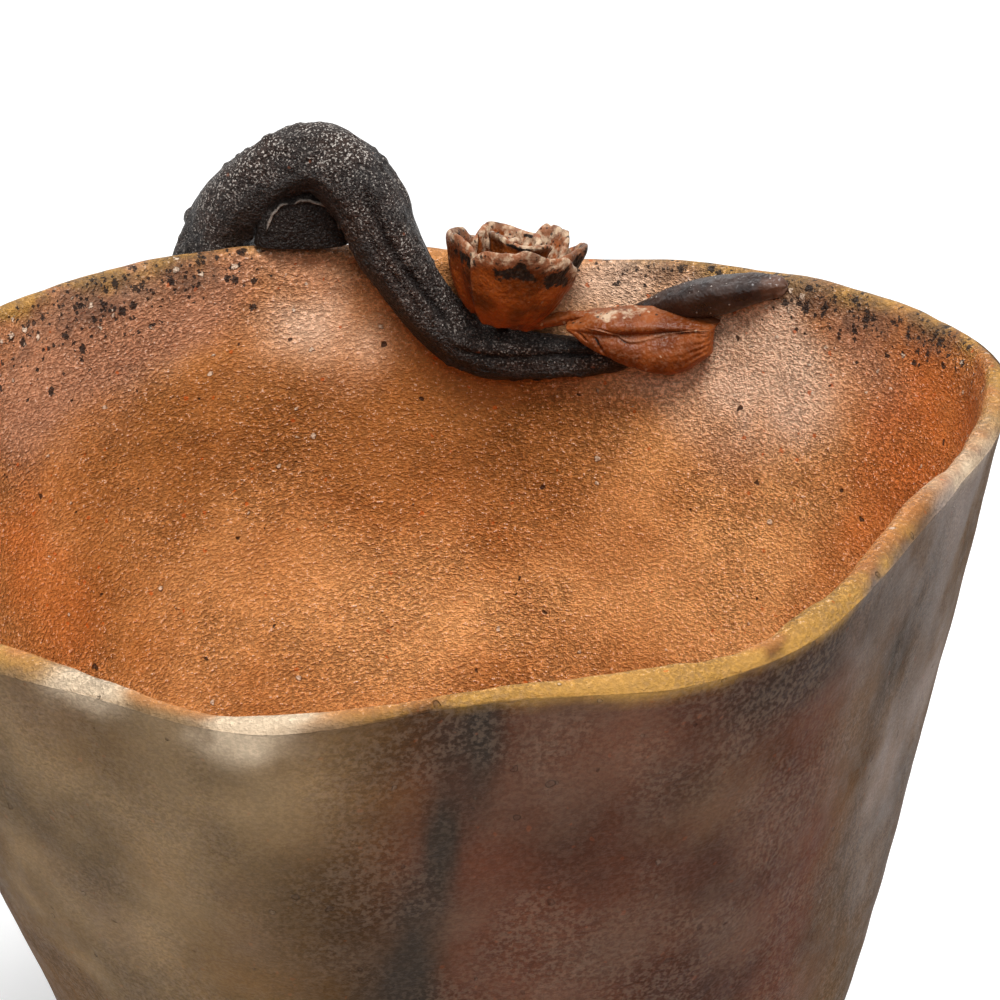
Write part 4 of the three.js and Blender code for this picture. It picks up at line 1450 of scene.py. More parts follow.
class Tree:
    """Adds nodes to one node tree and joins them."""

    def __init__(self, tree: bpy.types.NodeTree) -> None:
        """Starts work on an empty tree."""
        self.tree = tree

    def feed(self, socket: Socket, value: Link) -> None:
        """Joins a socket to another, or sets its value.

        Args:
            socket: The socket that takes.
            value: The socket that gives, or a value.
        """
        if isinstance(value, Socket):
            self.tree.links.new(value, socket)
        else:
            socket.default_value = value

    def add(self, kind: str, inputs: Mapping[str | int, Link], **settings: object) -> bpy.types.Node:
        """Adds a node.

        Args:
            kind: The node's type, without the word ShaderNode in front.
            inputs: What its sockets take, by name or number.
            settings: The node's own settings.

        Returns:
            The node.
        """
        node = self.tree.nodes.new(f"ShaderNode{kind}")
        for name, value in settings.items():
            setattr(node, name, value)
        for name, value in inputs.items():
            self.feed(node.inputs[name], value)
        return node

    def math(self, operation: str, first: Link, second: Link = 0.0) -> Socket:
        """The result of a sum on two numbers."""
        return self.add("Math", {0: first, 1: second}, operation=operation).outputs[0]

    def times(self, *values: Link) -> Link:
        """The product of numbers."""
        return functools.reduce(functools.partial(self.math, "MULTIPLY"), values)

    def plus(self, first: Link, second: Link) -> Socket:
        """The sum of two numbers."""
        return self.math("ADD", first, second)

    def span(self, value: Link, low: Link, high: Link, start: Link = 0.0, end: Link = 1.0) -> Socket:
        """Maps a number that runs from low to high to one that runs smoothly from start to end."""
        inputs = {"Value": value, "From Min": low, "From Max": high, "To Min": start, "To Max": end}
        return self.add("MapRange", inputs, interpolation_type="SMOOTHSTEP").outputs[0]

    def between(self, share: Link, start: Link, end: Link) -> Socket:
        """Maps a share from 0 to 1 to a number that runs smoothly from start to end."""
        return self.span(share, 0.0, 1.0, start, end)

    def mix(self, share: Link, first: Link, second: Link, how: str = "MIX") -> Socket:
        """Mixes two colours by a share."""
        return self.add("Mix", {0: share, 6: first, 7: second}, data_type="RGBA", blend_type=how).outputs[2]

    def scaled(self, vector: Link, scale: Link) -> Socket:
        """A vector times a number."""
        return self.add("VectorMath", {0: vector, "Scale": scale}, operation="SCALE").outputs[0]

    def shrunk(self, vector: Link, size: Link) -> Socket:
        """A vector over a number."""
        return self.scaled(vector, self.math("DIVIDE", 1.0, size))

    def noise(self, vector: Link, scale: float, detail: float, roughness: float) -> bpy.types.Node:
        """A cloud noise."""
        inputs = {"Vector": vector, "Scale": scale, "Detail": detail, "Roughness": roughness}
        return self.add("TexNoise", inputs)

    def mask(self, name: str) -> Socket:
        """A mask that was written on the mesh."""
        return self.add("Attribute", {}, attribute_name=name).outputs["Fac"]

    def seen(self) -> Socket:
        """Tells the rays that show the background from the rest.

        Returns:
            1 on rays from the camera and on reflected and refracted rays, and 0 on the rest.
        """
        path = self.add("LightPath", {})
        mirrored = self.math("MAXIMUM", path.outputs["Is Glossy Ray"], path.outputs["Is Transmission Ray"])
        return self.math("MAXIMUM", path.outputs["Is Camera Ray"], mirrored)


class Effect(Enum):
    """Effects that several finishes share, each a node group of that name."""

    SAND = "sand_grain"
    SPECKS = "clay_specks"
    RAGGED = "ragged_patch"
    MOTTLE = "flame_mottle"


class EffectLibrary:
    """Builds the shared node groups once and places them in the finishes."""

    def __init__(self) -> None:
        """Builds every group."""
        self.groups = {
            Effect.SAND: self.sand(),
            Effect.SPECKS: self.specks(),
            Effect.RAGGED: self.ragged(),
            Effect.MOTTLE: self.mottle(),
        }

    @staticmethod
    def start(effect: Effect, inputs: tuple[str, ...], outputs: tuple[str, ...]) -> tuple[Tree, dict, dict]:
        """Makes an empty group with a vector input, number inputs and number outputs.

        Args:
            effect: The effect that it is for.
            inputs: Names of the number inputs.
            outputs: Names of the number outputs.

        Returns:
            The tree, its input sockets and its output sockets, by name.
        """
        group = bpy.data.node_groups.new(effect.value, "ShaderNodeTree")
        group.interface.new_socket("Vector", in_out="INPUT", socket_type="NodeSocketVector")
        for name in inputs:
            group.interface.new_socket(name, in_out="INPUT", socket_type="NodeSocketFloat")
        for name in outputs:
            group.interface.new_socket(name, in_out="OUTPUT", socket_type="NodeSocketFloat")
        entry = group.nodes.new("NodeGroupInput")
        close = group.nodes.new("NodeGroupOutput")
        taken = {name: entry.outputs[name] for name in ("Vector", *inputs)}
        return Tree(group), taken, {name: close.inputs[name] for name in outputs}

    def sand(self) -> bpy.types.NodeTree:
        """Sandy skin.

        Returns:
            A group: noise drawn out sideways for drag wrinkles, with round grains that stand out of it.
        """
        tree, taken, given = self.start(Effect.SAND, ("Size", "Drag", "Grains"), ("Height",))
        place = tree.shrunk(taken["Vector"], taken["Size"])
        drag = tree.add("CombineXYZ", {0: taken["Drag"], 1: taken["Drag"], 2: 1.0}).outputs[0]
        drawn = tree.add("VectorMath", {0: place, 1: drag}, operation="MULTIPLY").outputs[0]
        wrinkles = tree.noise(drawn, scale=0.6, detail=2.0, roughness=0.7).outputs["Fac"]
        cells = tree.add("TexVoronoi", {"Vector": place, "Scale": 0.8})
        grain = tree.span(cells.outputs["Distance"], 0.6, 0.05)
        kept = tree.add("SeparateXYZ", {0: cells.outputs["Color"]}).outputs[0]
        grain = tree.times(grain, tree.math("POWER", kept, 1.5), taken["Grains"])
        tree.feed(given["Height"], tree.plus(tree.span(wrinkles, 0.25, 0.75, 0.0, 0.75), grain))
        return tree.tree

    def specks(self) -> bpy.types.NodeTree:
        """Scattered specks.

        Returns:
            A group: a cell grid keeps a share of its cells and draws a small ragged disc in each.
        """
        inputs, outputs = ("Spacing", "Size", "Share", "Stir"), ("Mask", "Tone")
        tree, taken, given = self.start(Effect.SPECKS, inputs, outputs)
        place = tree.shrunk(taken["Vector"], taken["Spacing"])
        stir = tree.noise(place, scale=3.5, detail=1.0, roughness=0.5).outputs["Color"]
        moved = tree.add("VectorMath", {0: stir, 1: taken["Stir"], 2: place}, operation="MULTIPLY_ADD")
        cells = tree.add("TexVoronoi", {"Vector": moved.outputs[0], "Scale": 1.0})
        parts = tree.add("SeparateXYZ", {0: cells.outputs["Color"]})
        size = tree.times(taken["Size"], tree.between(parts.outputs[1], 0.5, 1.3))
        disc = tree.span(cells.outputs["Distance"], size, tree.times(size, 0.7))
        kept = tree.math("LESS_THAN", parts.outputs[0], taken["Share"])
        tree.feed(given["Mask"], tree.times(disc, kept))
        tree.feed(given["Tone"], parts.outputs[2])
        return tree.tree

    def ragged(self) -> bpy.types.NodeTree:
        """A patch with a ragged edge.

        Returns:
            A group: the patch lies where noise plus the wanted amount passes a threshold.
        """
        tree, taken, given = self.start(Effect.RAGGED, ("Size", "Amount", "Soft"), ("Mask",))
        place = tree.shrunk(taken["Vector"], taken["Size"])
        cloud = tree.noise(place, scale=1.0, detail=3.0, roughness=0.62).outputs["Fac"]
        level = tree.plus(tree.times(cloud, 1.4), taken["Amount"])
        threshold = 1.2
        low, high = (tree.math(side, threshold, taken["Soft"]) for side in ("SUBTRACT", "ADD"))
        tree.feed(given["Mask"], tree.span(level, low, high))
        return tree.tree

    def mottle(self) -> bpy.types.NodeTree:
        """Soft change of tone that the flame leaves.

        Returns:
            A group: cloud noise, spread to run from 0 to 1.
        """
        tree, taken, given = self.start(Effect.MOTTLE, ("Size",), ("Tone",))
        place = tree.shrunk(taken["Vector"], taken["Size"])
        cloud = tree.noise(place, scale=1.0, detail=2.0, roughness=0.55).outputs["Fac"]
        tree.feed(given["Tone"], tree.span(cloud, 0.32, 0.68))
        return tree.tree

    def place(self, tree: Tree, effect: Effect, vector: Link, **values: Link) -> Mapping[str, Socket]:
        """Places a group in a finish.

        Args:
            tree: The finish's tree.
            effect: The effect wanted.
            vector: The place on the surface, in millimetres.
            values: The group's number inputs, by name.

        Returns:
            The group's output sockets.
        """
        node = tree.tree.nodes.new("ShaderNodeGroup")
        node.node_tree = self.groups[effect]
        tree.feed(node.inputs["Vector"], vector)
        for name, value in values.items():
            tree.feed(node.inputs[name], value)
        return node.outputs


@dataclass(frozen=True)
class Sand:
    """Sand in a clay: the size of a grain, the squeeze that draws it out sideways and how far grains rise."""

    size: float
    drag: float = 1.0
    grains: float = 0.5


@dataclass(frozen=True)
class Specks:
    """Specks in a clay: the size of the cells that hold them, their own size in a cell, the share of the
    cells that hold one and how much their outlines are stirred."""

    spacing: float
    size: float
    share: float = 1.0
    stir: float = 0.3


@dataclass(frozen=True)
class Ragged:
    """A patch with a ragged edge: the size of its teeth, its softness and how readily it spreads."""

    size: float
    soft: float
    amount: float = 1.0


class Surface:
    """A material in the making: colours are laid one over the other, then it gets its sheen and relief."""

    def __init__(self, name: str, effects: EffectLibrary) -> None:
        """Starts a material that knows each place on it, in millimetres.

        Args:
            name: The material's name.
            effects: The shared node groups.
        """
        self.material = bpy.data.materials.new(name)
        self.material.use_nodes = True
        self.effects = effects
        self.tree = Tree(self.material.node_tree)
        self.spot = self.tree.scaled(self.tree.add("TexCoord", {}).outputs["Object"], PER_METRE)
        self.colour: Link | None = None

    def sand(self, sand: Sand) -> Socket:
        """The height of the sandy skin."""
        values = {"Size": sand.size, "Drag": sand.drag, "Grains": sand.grains}
        return self.effects.place(self.tree, Effect.SAND, self.spot, **values)["Height"]

    def mottle(self, size: float) -> Socket:
        """A tone from 0 to 1 that changes softly over a distance."""
        return self.effects.place(self.tree, Effect.MOTTLE, self.spot, Size=size)["Tone"]

    def ragged(self, patch: Ragged, amount: Link) -> Socket:
        """The mask of a ragged patch, which grows with the amount."""
        values = {"Size": patch.size, "Soft": patch.soft, "Amount": self.tree.times(amount, patch.amount)}
        return self.effects.place(self.tree, Effect.RAGGED, self.spot, **values)["Mask"]

    def specks(self, specks: Specks, *shares: Link) -> Mapping[str, Socket]:
        """Scatters specks.

        Args:
            specks: Their kind.
            shares: Numbers whose product thins them out.

        Returns:
            Their mask and their tone.
        """
        values = {"Spacing": specks.spacing, "Size": specks.size, "Stir": specks.stir}
        values["Share"] = self.tree.times(specks.share, *shares)
        return self.effects.place(self.tree, Effect.SPECKS, self.spot, **values)

    def lay(self, colour: Colour, *shares: Link) -> None:
        """Lays a colour over those before it, as strong as the product of the shares."""
        self.colour = self.tree.mix(self.tree.times(*shares), self.colour, colour)

    def shade(self, tone: Link, share: Link = 1.0) -> None:
        """Multiplies the colour by a tone, by a share."""
        grey = self.tree.add("CombineXYZ", {0: tone, 1: tone, 2: tone}).outputs[0]
        self.colour = self.tree.mix(share, self.colour, grey, "MULTIPLY")

    def close(self, roughness: Link, gloss: float, height: Link, depth: float) -> bpy.types.Material:
        """Joins the colour, the sheen and the relief to the shader.

        Args:
            roughness: How rough it is.
            gloss: How strongly it mirrors.
            height: Its relief.
            depth: How deep a relief of 1 is, in millimetres.

        Returns:
            The material.
        """
        bump = self.tree.add("Bump", {"Height": height, "Distance": depth * MM, "Strength": 1.0})
        inputs = {"Base Color": self.colour, "Roughness": roughness, "Specular IOR Level": gloss,
                  "Normal": bump.outputs[0]}
        shader = self.material.node_tree.nodes["Principled BSDF"]
        for name, value in inputs.items():
            self.tree.feed(shader.inputs[name], value)
        return self.material


@dataclass(frozen=True)
class Coat:
    """A colour that covers one zone: the size and softness of its edge, its strength and raggedness, and the
    seed and layers of the noise that breaks it up."""

    zone: Zone
    colour: Colour
    size: float
    soft: float
    strength: float = 1.0
    ragged: float = 0.8
    seed: int = 201
    layers: int = 4

    def over(self, colour: Array, points: Array, masks: Mapping[str, Array]) -> Array:
        """Lays the coat over a colour.

        Args:
            colour: The colour of each point.
            points: Places, in millimetres.
            masks: How strong each zone is at each point.

        Returns:
            The colour, covered where the zone's mask, broken up by noise, passes a half.
        """
        noise = Relief(self.ragged, self.size, self.seed, self.layers).over(points)
        broken = masks[self.zone.value] * (1.0 + noise)
        share = self.strength * smoothstep(broken, 0.5 - self.soft, 0.5 + self.soft)
        return blend(colour, np.array(self.colour), share[..., None])


@dataclass(frozen=True)
class BodyClay:
    """Sandy stoneware, flashed orange inside and smoked outside, with ash and char along the rim; its colour
    also paints shade and highlights on the inner wall, a grazing reflection outside and a darker foot.
    """

    amber: Colour = srgb(216, 147, 86)
    deep_amber: Colour = srgb(194, 119, 58)
    inside_coats: tuple[Coat, ...] = (
        # Also paints a band of shade across the far wall below the branch.
        Coat(Zone.OCHRE_AND_SHADE, srgb(176, 110, 54), 9.0, 0.45),
        Coat(Zone.GLOW, srgb(236, 168, 104), 11.0, 0.5),
        Coat(Zone.EMBER, srgb(216, 120, 56), 9.0, 0.5),
        # Also paints the highlight on the swelling below the arch.
        Coat(Zone.BLUSH_AND_HIGHLIGHT, srgb(244, 200, 166), 7.0, 0.45),
        Coat(Zone.PLUM, srgb(202, 142, 106), 8.0, 0.45),
    )
    brown: Colour = srgb(100, 70, 36)
    dun: Colour = srgb(76, 52, 26)
    outside_coats: tuple[Coat, ...] = (
        Coat(Zone.OLIVE, srgb(136, 111, 80), 10.0, 0.48, ragged=0.6),
        Coat(Zone.RUSSET, srgb(85, 48, 32), 12.0, 0.48, ragged=0.5),
        # Painted grazing reflection: grey on the right of the outside.
        Coat(Zone.SMOKE, srgb(130, 116, 108), 8.0, 0.48, ragged=0.9),
    )
    # Also darkens the outside toward the foot.
    soot_and_dark_foot: Coat = Coat(Zone.SOOT_AND_DARK_FOOT, srgb(52, 42, 34), 6.0, 0.48, ragged=0.4)
    tone: Relief = Relief(0.6, 9.0, 211, 4)
    cloud: Relief = Relief(0.4, 6.5, 221)
    haze: Colour = srgb(128, 102, 84)
    haze_drift: Relief = Relief(1.0, 7.5, 231, 4)
    haze_share: float = 0.28
    rim_coats: tuple[Coat, ...] = (
        Coat(Zone.GOLD, srgb(190, 143, 72), 3.0, 0.4, 0.85, ragged=1.0),
        Coat(Zone.CREAM, srgb(216, 192, 162), 3.0, 0.45),
    )
    sand: Sand = Sand(0.13, 0.65, 0.4)
    relief: float = 0.24
    fine_size: float = 1.3
    patch_size: float = 8.0
    coarse_shares: Pair = (0.6, 1.0)
    outside_coarse: float = 0.5
    sand_shade: Quad = (0.1, 0.8, 0.5, 1.25)
    fine_shade: Pair = (0.92, 1.08)
    ash: Colour = srgb(158, 132, 112)
    ash_size: float = 0.36
    ash_tones: Pair = (0.2, 1.0)
    ash_patches: Pair = (0.3, 1.0)
    ash_share: float = 0.2
    glint: Colour = srgb(250, 222, 200)
    glint_heights: Pair = (0.64, 0.86)
    glint_share: float = 0.9
    pale_grain: Colour = srgb(240, 214, 188)
    pale: Specks = Specks(1.3, 0.16)
    pale_share: float = 0.1
    rim_pale_share: float = 0.08
    rim_reach: Pair = (9.0, 0.5)
    pale_sides: Pair = (0.05, 0.65)
    pale_rise: float = 1.2
    rust: Colour = srgb(206, 92, 24)
    rust_specks: Specks = Specks(1.2, 0.14, 0.42)
    rust_sides: Pair = (0.08, 0.7)
    iron: Colour = srgb(58, 38, 30)
    iron_specks: Specks = Specks(2.4, 0.1, 0.5)
    iron_sides: Pair = (0.3, 0.9)
    iron_rise: float = -1.0
    smear: Colour = srgb(84, 68, 60)
    smear_patch: Ragged = Ragged(1.6, 0.35, 1.4)
    smear_share: Quad = (0.02, 0.25, 0.0, 0.65)
    char: Colour = srgb(40, 34, 32)
    char_crumbs: Specks = Specks(0.7, 0.5, stir=0.9)
    char_dust: Specks = Specks(0.34, 0.5, 0.7, 0.8)
    char_share: float = 0.92
    spar: Specks = Specks(0.9, 0.26, 0.8, 0.5)
    spar_share: float = 0.85
    spar_rise: float = 1.2
    roughness: Pair = (0.24, 0.4)
    outside_roughness: float = 0.4
    gloss: float = 0.1

    def paint(self, points: Array, masks: Mapping[str, Array], inside: Array) -> Array:
        """Paints the wall.

        Args:
            points: Points of the wall, turned off the axes so that noise shows no square grain.
            masks: How strong each zone is at each point.
            inside: How far inside the lip each point lies, 0 to 1.

        Returns:
            A linear colour for each point: mottled clay of its side under that side's coats, clouds, a brown
            haze and a sooty streak over the outside, and the rim's coats over both. Some inside coats also
            paint shade and a highlight, one outside coat paints a grazing reflection, and the streak's coat
            also darkens the outside toward the foot.
        """
        tone = np.clip(0.5 + self.tone.over(points), 0.0, 1.0)[..., None]
        inner = blend(np.array(self.deep_amber), np.array(self.amber), tone)
        outer = blend(np.array(self.dun), np.array(self.brown), tone)
        for coat in self.inside_coats:
            inner = coat.over(inner, points, masks)
        for coat in self.outside_coats:
            outer = coat.over(outer, points, masks)
        cloud = self.cloud.over(points)[..., None]
        haze = np.clip(self.haze_drift.over(points), 0.0, 1.0)[..., None]
        outer = blend(outer * (1.0 + cloud), np.array(self.haze), self.haze_share * haze)
        outer = self.soot_and_dark_foot.over(outer, points, masks)
        colour = blend(outer, inner, inside[..., None])
        for coat in self.rim_coats:
            colour = coat.over(colour, points, masks)
        return colour

    def build(self, effects: EffectLibrary) -> bpy.types.Material:
        """Builds the material.

        Args:
            effects: The shared node groups.

        Returns:
            Painted shade and light from the sand's relief, ash, painted glints, specks, char and spar over
            the colour that is painted on the body.
        """
        surface = Surface("body_clay", effects)
        tree = surface.tree
        surface.colour = tree.add("Attribute", {}, attribute_name="tint").outputs["Color"]
        inner, charred, sparry = (tree.mask(name) for name in ("inner", "char", "spar"))
        sand = surface.sand(self.sand)
        fine, patchy = surface.mottle(self.fine_size), surface.mottle(self.patch_size)
        coarse = tree.between(patchy, *self.coarse_shares)
        coarse = tree.times(coarse, tree.between(inner, self.outside_coarse, 1.0))
        # Painted shade in the sand's hollows and painted light on its tops, times a fine random tone.
        shade = tree.times(tree.span(sand, *self.sand_shade), tree.between(fine, *self.fine_shade))
        surface.shade(shade, coarse)
        ashen = tree.span(surface.mottle(self.ash_size), *self.ash_tones)
        ashen = tree.times(ashen, tree.between(patchy, *self.ash_patches))
        surface.lay(self.ash, ashen, tree.between(inner, self.ash_share, 0.0))
        glint = tree.times(tree.span(sand, *self.glint_heights), coarse)
        surface.lay(self.glint, glint, tree.between(inner, 0.0, self.glint_share))
        rim = tree.times(tree.span(tree.mask("past_lip"), *self.rim_reach), self.rim_pale_share)
        pale = surface.specks(self.pale, tree.plus(self.pale_share, tree.plus(rim, sparry)))["Mask"]
        surface.lay(self.pale_grain, pale, tree.between(inner, *self.pale_sides))
        rust = surface.specks(self.rust_specks)["Mask"]
        surface.lay(self.rust, rust, tree.between(inner, *self.rust_sides))
        iron = surface.specks(self.iron_specks)["Mask"]
        surface.lay(self.iron, iron, tree.between(inner, *self.iron_sides))
        smear = surface.ragged(self.smear_patch, charred)
        surface.lay(self.smear, smear, tree.span(charred, *self.smear_share))
        crumbs = surface.specks(self.char_crumbs, charred)["Mask"]
        dust = surface.specks(self.char_dust, charred)["Mask"]
        surface.lay(self.char, tree.math("MAXIMUM", crumbs, dust), self.char_share)
        spar = surface.specks(self.spar, sparry)["Mask"]
        surface.lay(self.pale_grain, spar, self.spar_share)
        roughness = tree.between(fine, *self.roughness)
        roughness = tree.plus(roughness, tree.between(inner, self.outside_roughness, 0.0))
        height = tree.times(sand, coarse)
        for mask, rise in ((pale, self.pale_rise), (spar, self.spar_rise), (iron, self.iron_rise)):
            height = tree.plus(height, tree.times(mask, rise))
        return surface.close(roughness, self.gloss, height, self.relief)


@dataclass(frozen=True)
class DarkClay:
    """Near-black granular clay, dusted with pale grains that grow denser where painted light falls, rubbed
    grey on its knobs, painted pale as a highlight on the pad's ridge, dark as painted shade in its grooves
    and darker over the pad's face.
    """

    black: Colour = srgb(52, 47, 45)
    brown: Colour = srgb(62, 49, 43)
    tone_size: float = 3.5
    sand: Sand = Sand(0.15, grains=0.6)
    relief: float = 0.2
    sand_shade: Quad = (0.1, 0.9, 0.35, 1.5)
    dim_colour: Colour = srgb(20, 14, 12)
    dim_share: float = 0.85
    worn: Colour = srgb(150, 138, 128)
    wear_and_highlight_patch: Ragged = Ragged(0.8, 0.2)
    pale_grain: Colour = srgb(232, 222, 212)
    pale: Specks = Specks(0.24, 0.3, 0.85)
    pale_contrast: float = 2.4
    pale_rise: float = 0.6
    thread_size: float = 0.2
    thread_tones: Pair = (0.72, 1.0)
    thread_shares: Pair = (0.2, 0.75)
    rust: Colour = srgb(132, 76, 50)
    rust_specks: Specks = Specks(0.8, 0.2, 0.12)
    rust_share: float = 0.5
    roughness: Pair = (0.3, 0.5)
    gloss: float = 0.15

    def build(self, effects: EffectLibrary) -> bpy.types.Material:
        """Builds the material.

        Args:
            effects: The shared node groups.

        Returns:
            Painted shade and light from the sand's relief, a dim colour that paints shade in the grooves and
            darkens the pad's face, rubbed grey knobs and a painted highlight on the pad's ridge, pale threads
            and grains that grow with painted light, and rust over two tones of dark clay.
        """
        surface = Surface("dark_clay", effects)
        tree = surface.tree
        tone, sand = surface.mottle(self.tone_size), surface.sand(self.sand)
        surface.colour = tree.mix(tone, self.black, self.brown)
        # Painted shade in the sand's hollows and painted light on its tops.
        surface.shade(tree.span(sand, *self.sand_shade))
        # Painted shade in the branch's grooves, and a darker face on the pad.
        surface.lay(self.dim_colour, tree.mask("dim"), self.dim_share)
        worn, salt_and_light = tree.mask("worn"), tree.mask("salt")
        # Grey on the branch's rubbed knobs, and a painted highlight on the pad's ridge.
        surface.lay(self.worn, surface.ragged(self.wear_and_highlight_patch, worn), worn)
        thread = tree.span(surface.mottle(self.thread_size), *self.thread_tones)
        # Painted light: the pale threads and grains follow the salt mask, which grows where the branch faces
        # up.
        surface.lay(self.pale_grain, thread, tree.between(tone, *self.thread_shares), salt_and_light)
        pale = surface.specks(self.pale)
        salt = tree.times(pale["Mask"], tree.math("POWER", pale["Tone"], self.pale_contrast))
        surface.lay(self.pale_grain, salt, salt_and_light)
        surface.lay(self.rust, surface.specks(self.rust_specks)["Mask"], self.rust_share)
        height = tree.plus(sand, tree.times(pale["Mask"], self.pale_rise))
        return surface.close(tree.between(tone, *self.roughness), self.gloss, height, self.relief)


@dataclass(frozen=True)
class TwigClay:
    """Dark clay rubbed smooth, with a satin sheen, tiny bright dots that paint glints on its upper side, and
    a brown end.
    """

    black: Colour = srgb(40, 29, 26)
    brown: Colour = srgb(92, 64, 50)
    brown_share: float = 0.25
    tone_size: float = 1.6
    end_from: Pair = (0.78, 1.02)
    end_patch: Ragged = Ragged(1.2, 0.3)
    dot_glint: Colour = srgb(196, 184, 176)
    dots: Specks = Specks(0.34, 0.22)
    dots_share: Pair = (0.06, 0.8)
    dot_strength: float = 0.7
    sand: Sand = Sand(0.5)
    relief: float = 0.09
    roughness: Pair = (0.26, 0.42)
    gloss: float = 0.42

    def build(self, effects: EffectLibrary) -> bpy.types.Material:
        """Builds the material.

        Args:
            effects: The shared node groups.

        Returns:
            Dots that paint glints and a shallow relief over mottled dark clay with a brown end.
        """
        surface = Surface("twig_clay", effects)
        tree = surface.tree
        tone = surface.mottle(self.tone_size)
        end = surface.ragged(self.end_patch, tree.span(tree.mask("share"), *self.end_from))
        surface.colour = tree.mix(end, self.black, self.brown)
        surface.lay(self.brown, tone, self.brown_share)
        # Painted glints: pale dots, laid where the twig faces up.
        dots = surface.specks(self.dots, tree.between(tree.mask("dots"), *self.dots_share))["Mask"]
        surface.lay(self.dot_glint, dots, self.dot_strength)
        height = tree.plus(surface.sand(self.sand), dots)
        return surface.close(tree.between(tone, *self.roughness), self.gloss, height, self.relief)


@dataclass(frozen=True)
class BloomClay:
    """Fine orange-brown clay of the flower and the leaf, with ash on its lips and char below them; it also
    paints shade in the leaf's veins, beside its rib and on the pellet, highlights on the leaf's rib and on
    the stalk, and a sheen with its dust.
    """

    name: str
    orange: Colour
    brown: Colour
    char_and_shade_amount: float = 0.75
    dust: float = 0.04
    tone_size: float = 2.4
    ash: Colour = srgb(208, 180, 150)
    edge_share: float = 0.14
    ash_patch: Ragged = Ragged(0.9, 0.16, 0.55)
    ash_share: float = 0.9
    char: Colour = srgb(34, 27, 24)
    char_and_shade_edge: Pair = (0.8, 0.08)
    pepper: Specks = Specks(0.42, 0.34, 0.6)
    pepper_share: float = 0.85
    dots: Specks = Specks(0.9, 0.14, 0.25)
    dot_share: float = 0.5
    dust_size: float = 0.3
    dust_tones: Pair = (0.5, 1.0)
    sand: Sand = Sand(0.4)
    relief: float = 0.1
    roughness: Pair = (0.32, 0.5)
    gloss: float = 0.15

    def build(self, effects: EffectLibrary) -> bpy.types.Material:
        """Builds the material.

        Args:
            effects: The shared node groups.

        Returns:
            Ash, char, pepper, dots and dust over two tones of clay. The ash also paints highlights on the
            leaf's rib and the stalk, the char paints shade in the leaf's veins, beside its rib and on the
            pellet, and the dust also paints a sheen.
        """
        surface = Surface(self.name, effects)
        tree = surface.tree
        tone, ashed = surface.mottle(self.tone_size), tree.mask("ash")
        surface.colour = tree.mix(tone, self.brown, self.orange)
        # Pale edges: ash on the petals' lips and the leaf's rim, and a painted highlight on the leaf's rib.
        surface.lay(self.ash, tree.mask("edge"), self.edge_share)
        # The ash mask also holds the stalk's painted highlight.
        surface.lay(self.ash, surface.ragged(self.ash_patch, ashed), self.ash_share)
        # Char on the petals; painted shade in the leaf's veins, beside its rib and over the pellet.
        surface.lay(self.char, surface.ragged(Ragged(*self.char_and_shade_edge, self.char_and_shade_amount), tree.mask("cut")))
        surface.lay(self.char, surface.specks(self.pepper, ashed)["Mask"], self.pepper_share)
        surface.lay(self.ash, surface.specks(self.dots)["Mask"], self.dot_share)
        # A fine pale dust that also paints a grey sheen.
        surface.lay(self.ash, tree.span(surface.mottle(self.dust_size), *self.dust_tones), self.dust)
        sheen = tree.between(tone, *self.roughness)
        return surface.close(sheen, self.gloss, surface.sand(self.sand), self.relief)


@dataclass(frozen=True)
class Lamp:
    """A square soft light: its place, its side and its power in watts."""

    name: str
    place: Triple
    side: float
    watts: float


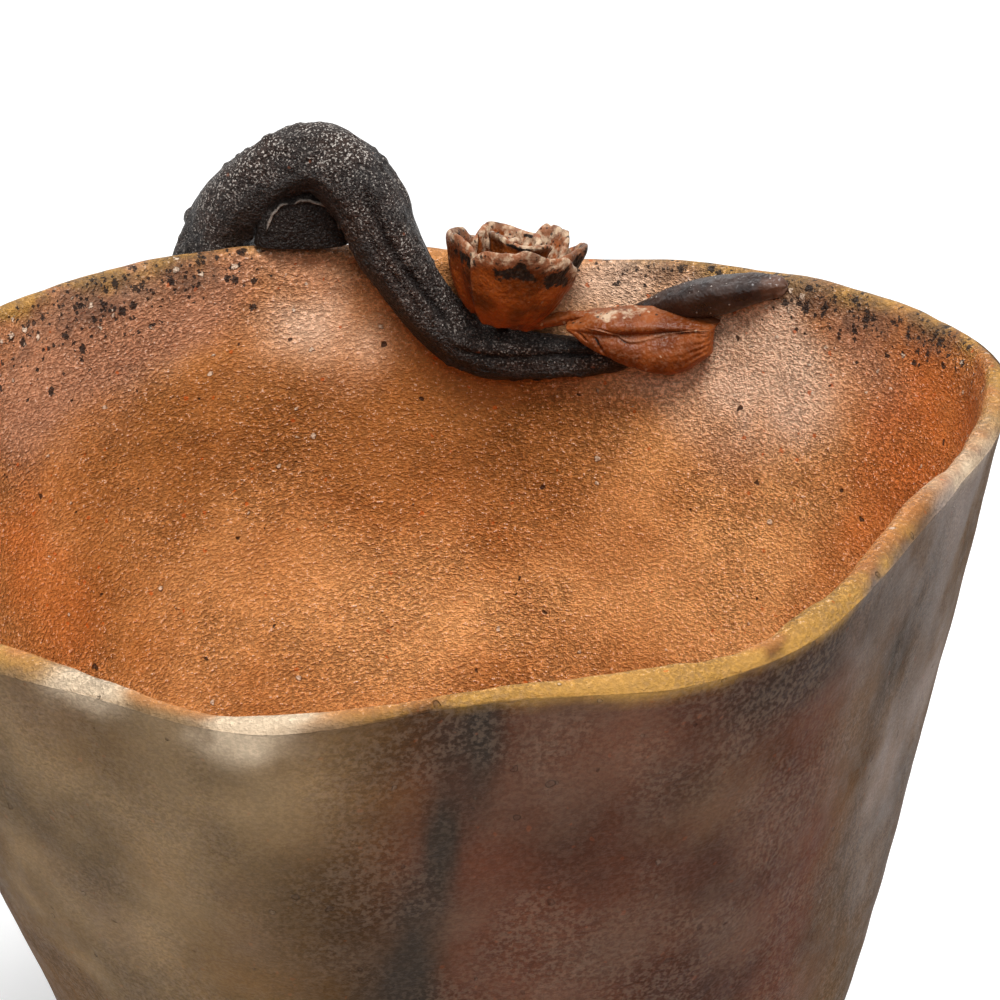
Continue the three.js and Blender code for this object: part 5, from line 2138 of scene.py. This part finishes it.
@dataclass
class Studio:
    """The pale floor, the soft light and the camera. Places are in metres."""

    target: Triple = (0.004, 0.0, 0.065)
    distance: float = 0.33
    elevation: float = 24.0
    field_of_view: float = 12.2
    floor_side: float = 6.0
    sky: float = 0.25
    floor_white: Colour = (0.86, 0.86, 0.86, 1.0)
    floor_glow: float = 0.35
    lamps: tuple[Lamp, ...] = (
        Lamp("key_softbox", (0.05, -0.2, 0.62), 0.24, 4.0),
        Lamp("front_softbox", (0.1, -0.55, 0.5), 0.3, 1.0),
        Lamp("back_softbox", (-0.2, 0.45, 0.6), 0.4, 1.2),
    )

    def build_floor(self) -> None:
        """A white floor that adds a little glow of its own for the eye."""
        half = self.floor_side / 2.0
        corners = [(-half, -half, 0.0), (half, -half, 0.0), (half, half, 0.0), (-half, half, 0.0)]
        mesh = bpy.data.meshes.new("studio_floor")
        mesh.from_pydata(corners, [], [(0, 1, 2, 3)])
        floor = bpy.data.objects.new("studio_floor", mesh)
        bpy.context.scene.collection.objects.link(floor)
        material = bpy.data.materials.new("white_floor")
        material.use_nodes = True
        material.node_tree.nodes.clear()
        tree = Tree(material.node_tree)
        paper = tree.add("BsdfDiffuse", {"Color": self.floor_white})
        glow = tree.add("Emission", {"Strength": tree.times(tree.seen(), self.floor_glow)})
        both = tree.add("AddShader", {0: paper.outputs[0], 1: glow.outputs[0]})
        tree.add("OutputMaterial", {"Surface": both.outputs[0]})
        mesh.materials.append(material)

    def build_sky(self) -> None:
        """Even light from all round, white to the eye."""
        world = bpy.data.worlds.new("white_room")
        world.use_nodes = True
        bpy.context.scene.world = world
        tree = Tree(world.node_tree)
        strength = tree.between(tree.seen(), self.sky, 1.0)
        background = world.node_tree.nodes["Background"]
        background.inputs["Color"].default_value = (1.0, 1.0, 1.0, 1.0)
        tree.feed(background.inputs["Strength"], strength)

    def build_lamps(self) -> None:
        """Soft square lights that face the cup."""
        for lamp in self.lamps:
            data = bpy.data.lights.new(lamp.name, "AREA")
            data.size = lamp.side
            data.energy = lamp.watts
            light = bpy.data.objects.new(lamp.name, data)
            light.location = lamp.place
            aim = Vector(self.target) - light.location
            light.rotation_euler = aim.to_track_quat("-Z", "Y").to_euler()
            bpy.context.scene.collection.objects.link(light)

    def build_camera(self) -> None:
        """The camera, in front of the cup and above it."""
        lift = math.radians(self.elevation)
        offset = Vector((0.0, -math.cos(lift), math.sin(lift))) * self.distance
        data = bpy.data.cameras.new("camera")
        data.angle = math.radians(self.field_of_view)
        camera = bpy.data.objects.new("camera", data)
        camera.location = Vector(self.target) + offset
        camera.rotation_euler = (-offset).to_track_quat("-Z", "Y").to_euler()
        bpy.context.scene.collection.objects.link(camera)
        bpy.context.scene.camera = camera

    def build(self) -> None:
        """Sets the stage."""
        bpy.context.scene.view_settings.view_transform = "Standard"
        self.build_camera()
        self.build_floor()
        self.build_sky()
        self.build_lamps()


def main() -> None:
    """Builds the studio, the finishes and the pieces."""
    logging.basicConfig(level=logging.INFO, format="%(message)s")
    Studio().build()
    effects = EffectLibrary()
    dark_clay = DarkClay().build(effects)
    flower_clay = BloomClay("flower_clay", srgb(150, 74, 24), srgb(92, 43, 14)).build(effects)
    leaf_clay = BloomClay("leaf_clay", srgb(148, 78, 34), srgb(106, 50, 19), 0.5, 0.08).build(effects)
    wall = Wall()
    branch = Branch(wall)
    CupBody(wall).build(BodyClay(), effects)
    branch.build(dark_clay)
    ArchPad(branch).build(dark_clay)
    TwigTip(wall).build(TwigClay().build(effects))
    Leaf(wall).build(leaf_clay)
    Flower(wall, branch).build(flower_clay)


if __name__ == "__main__":
    main()
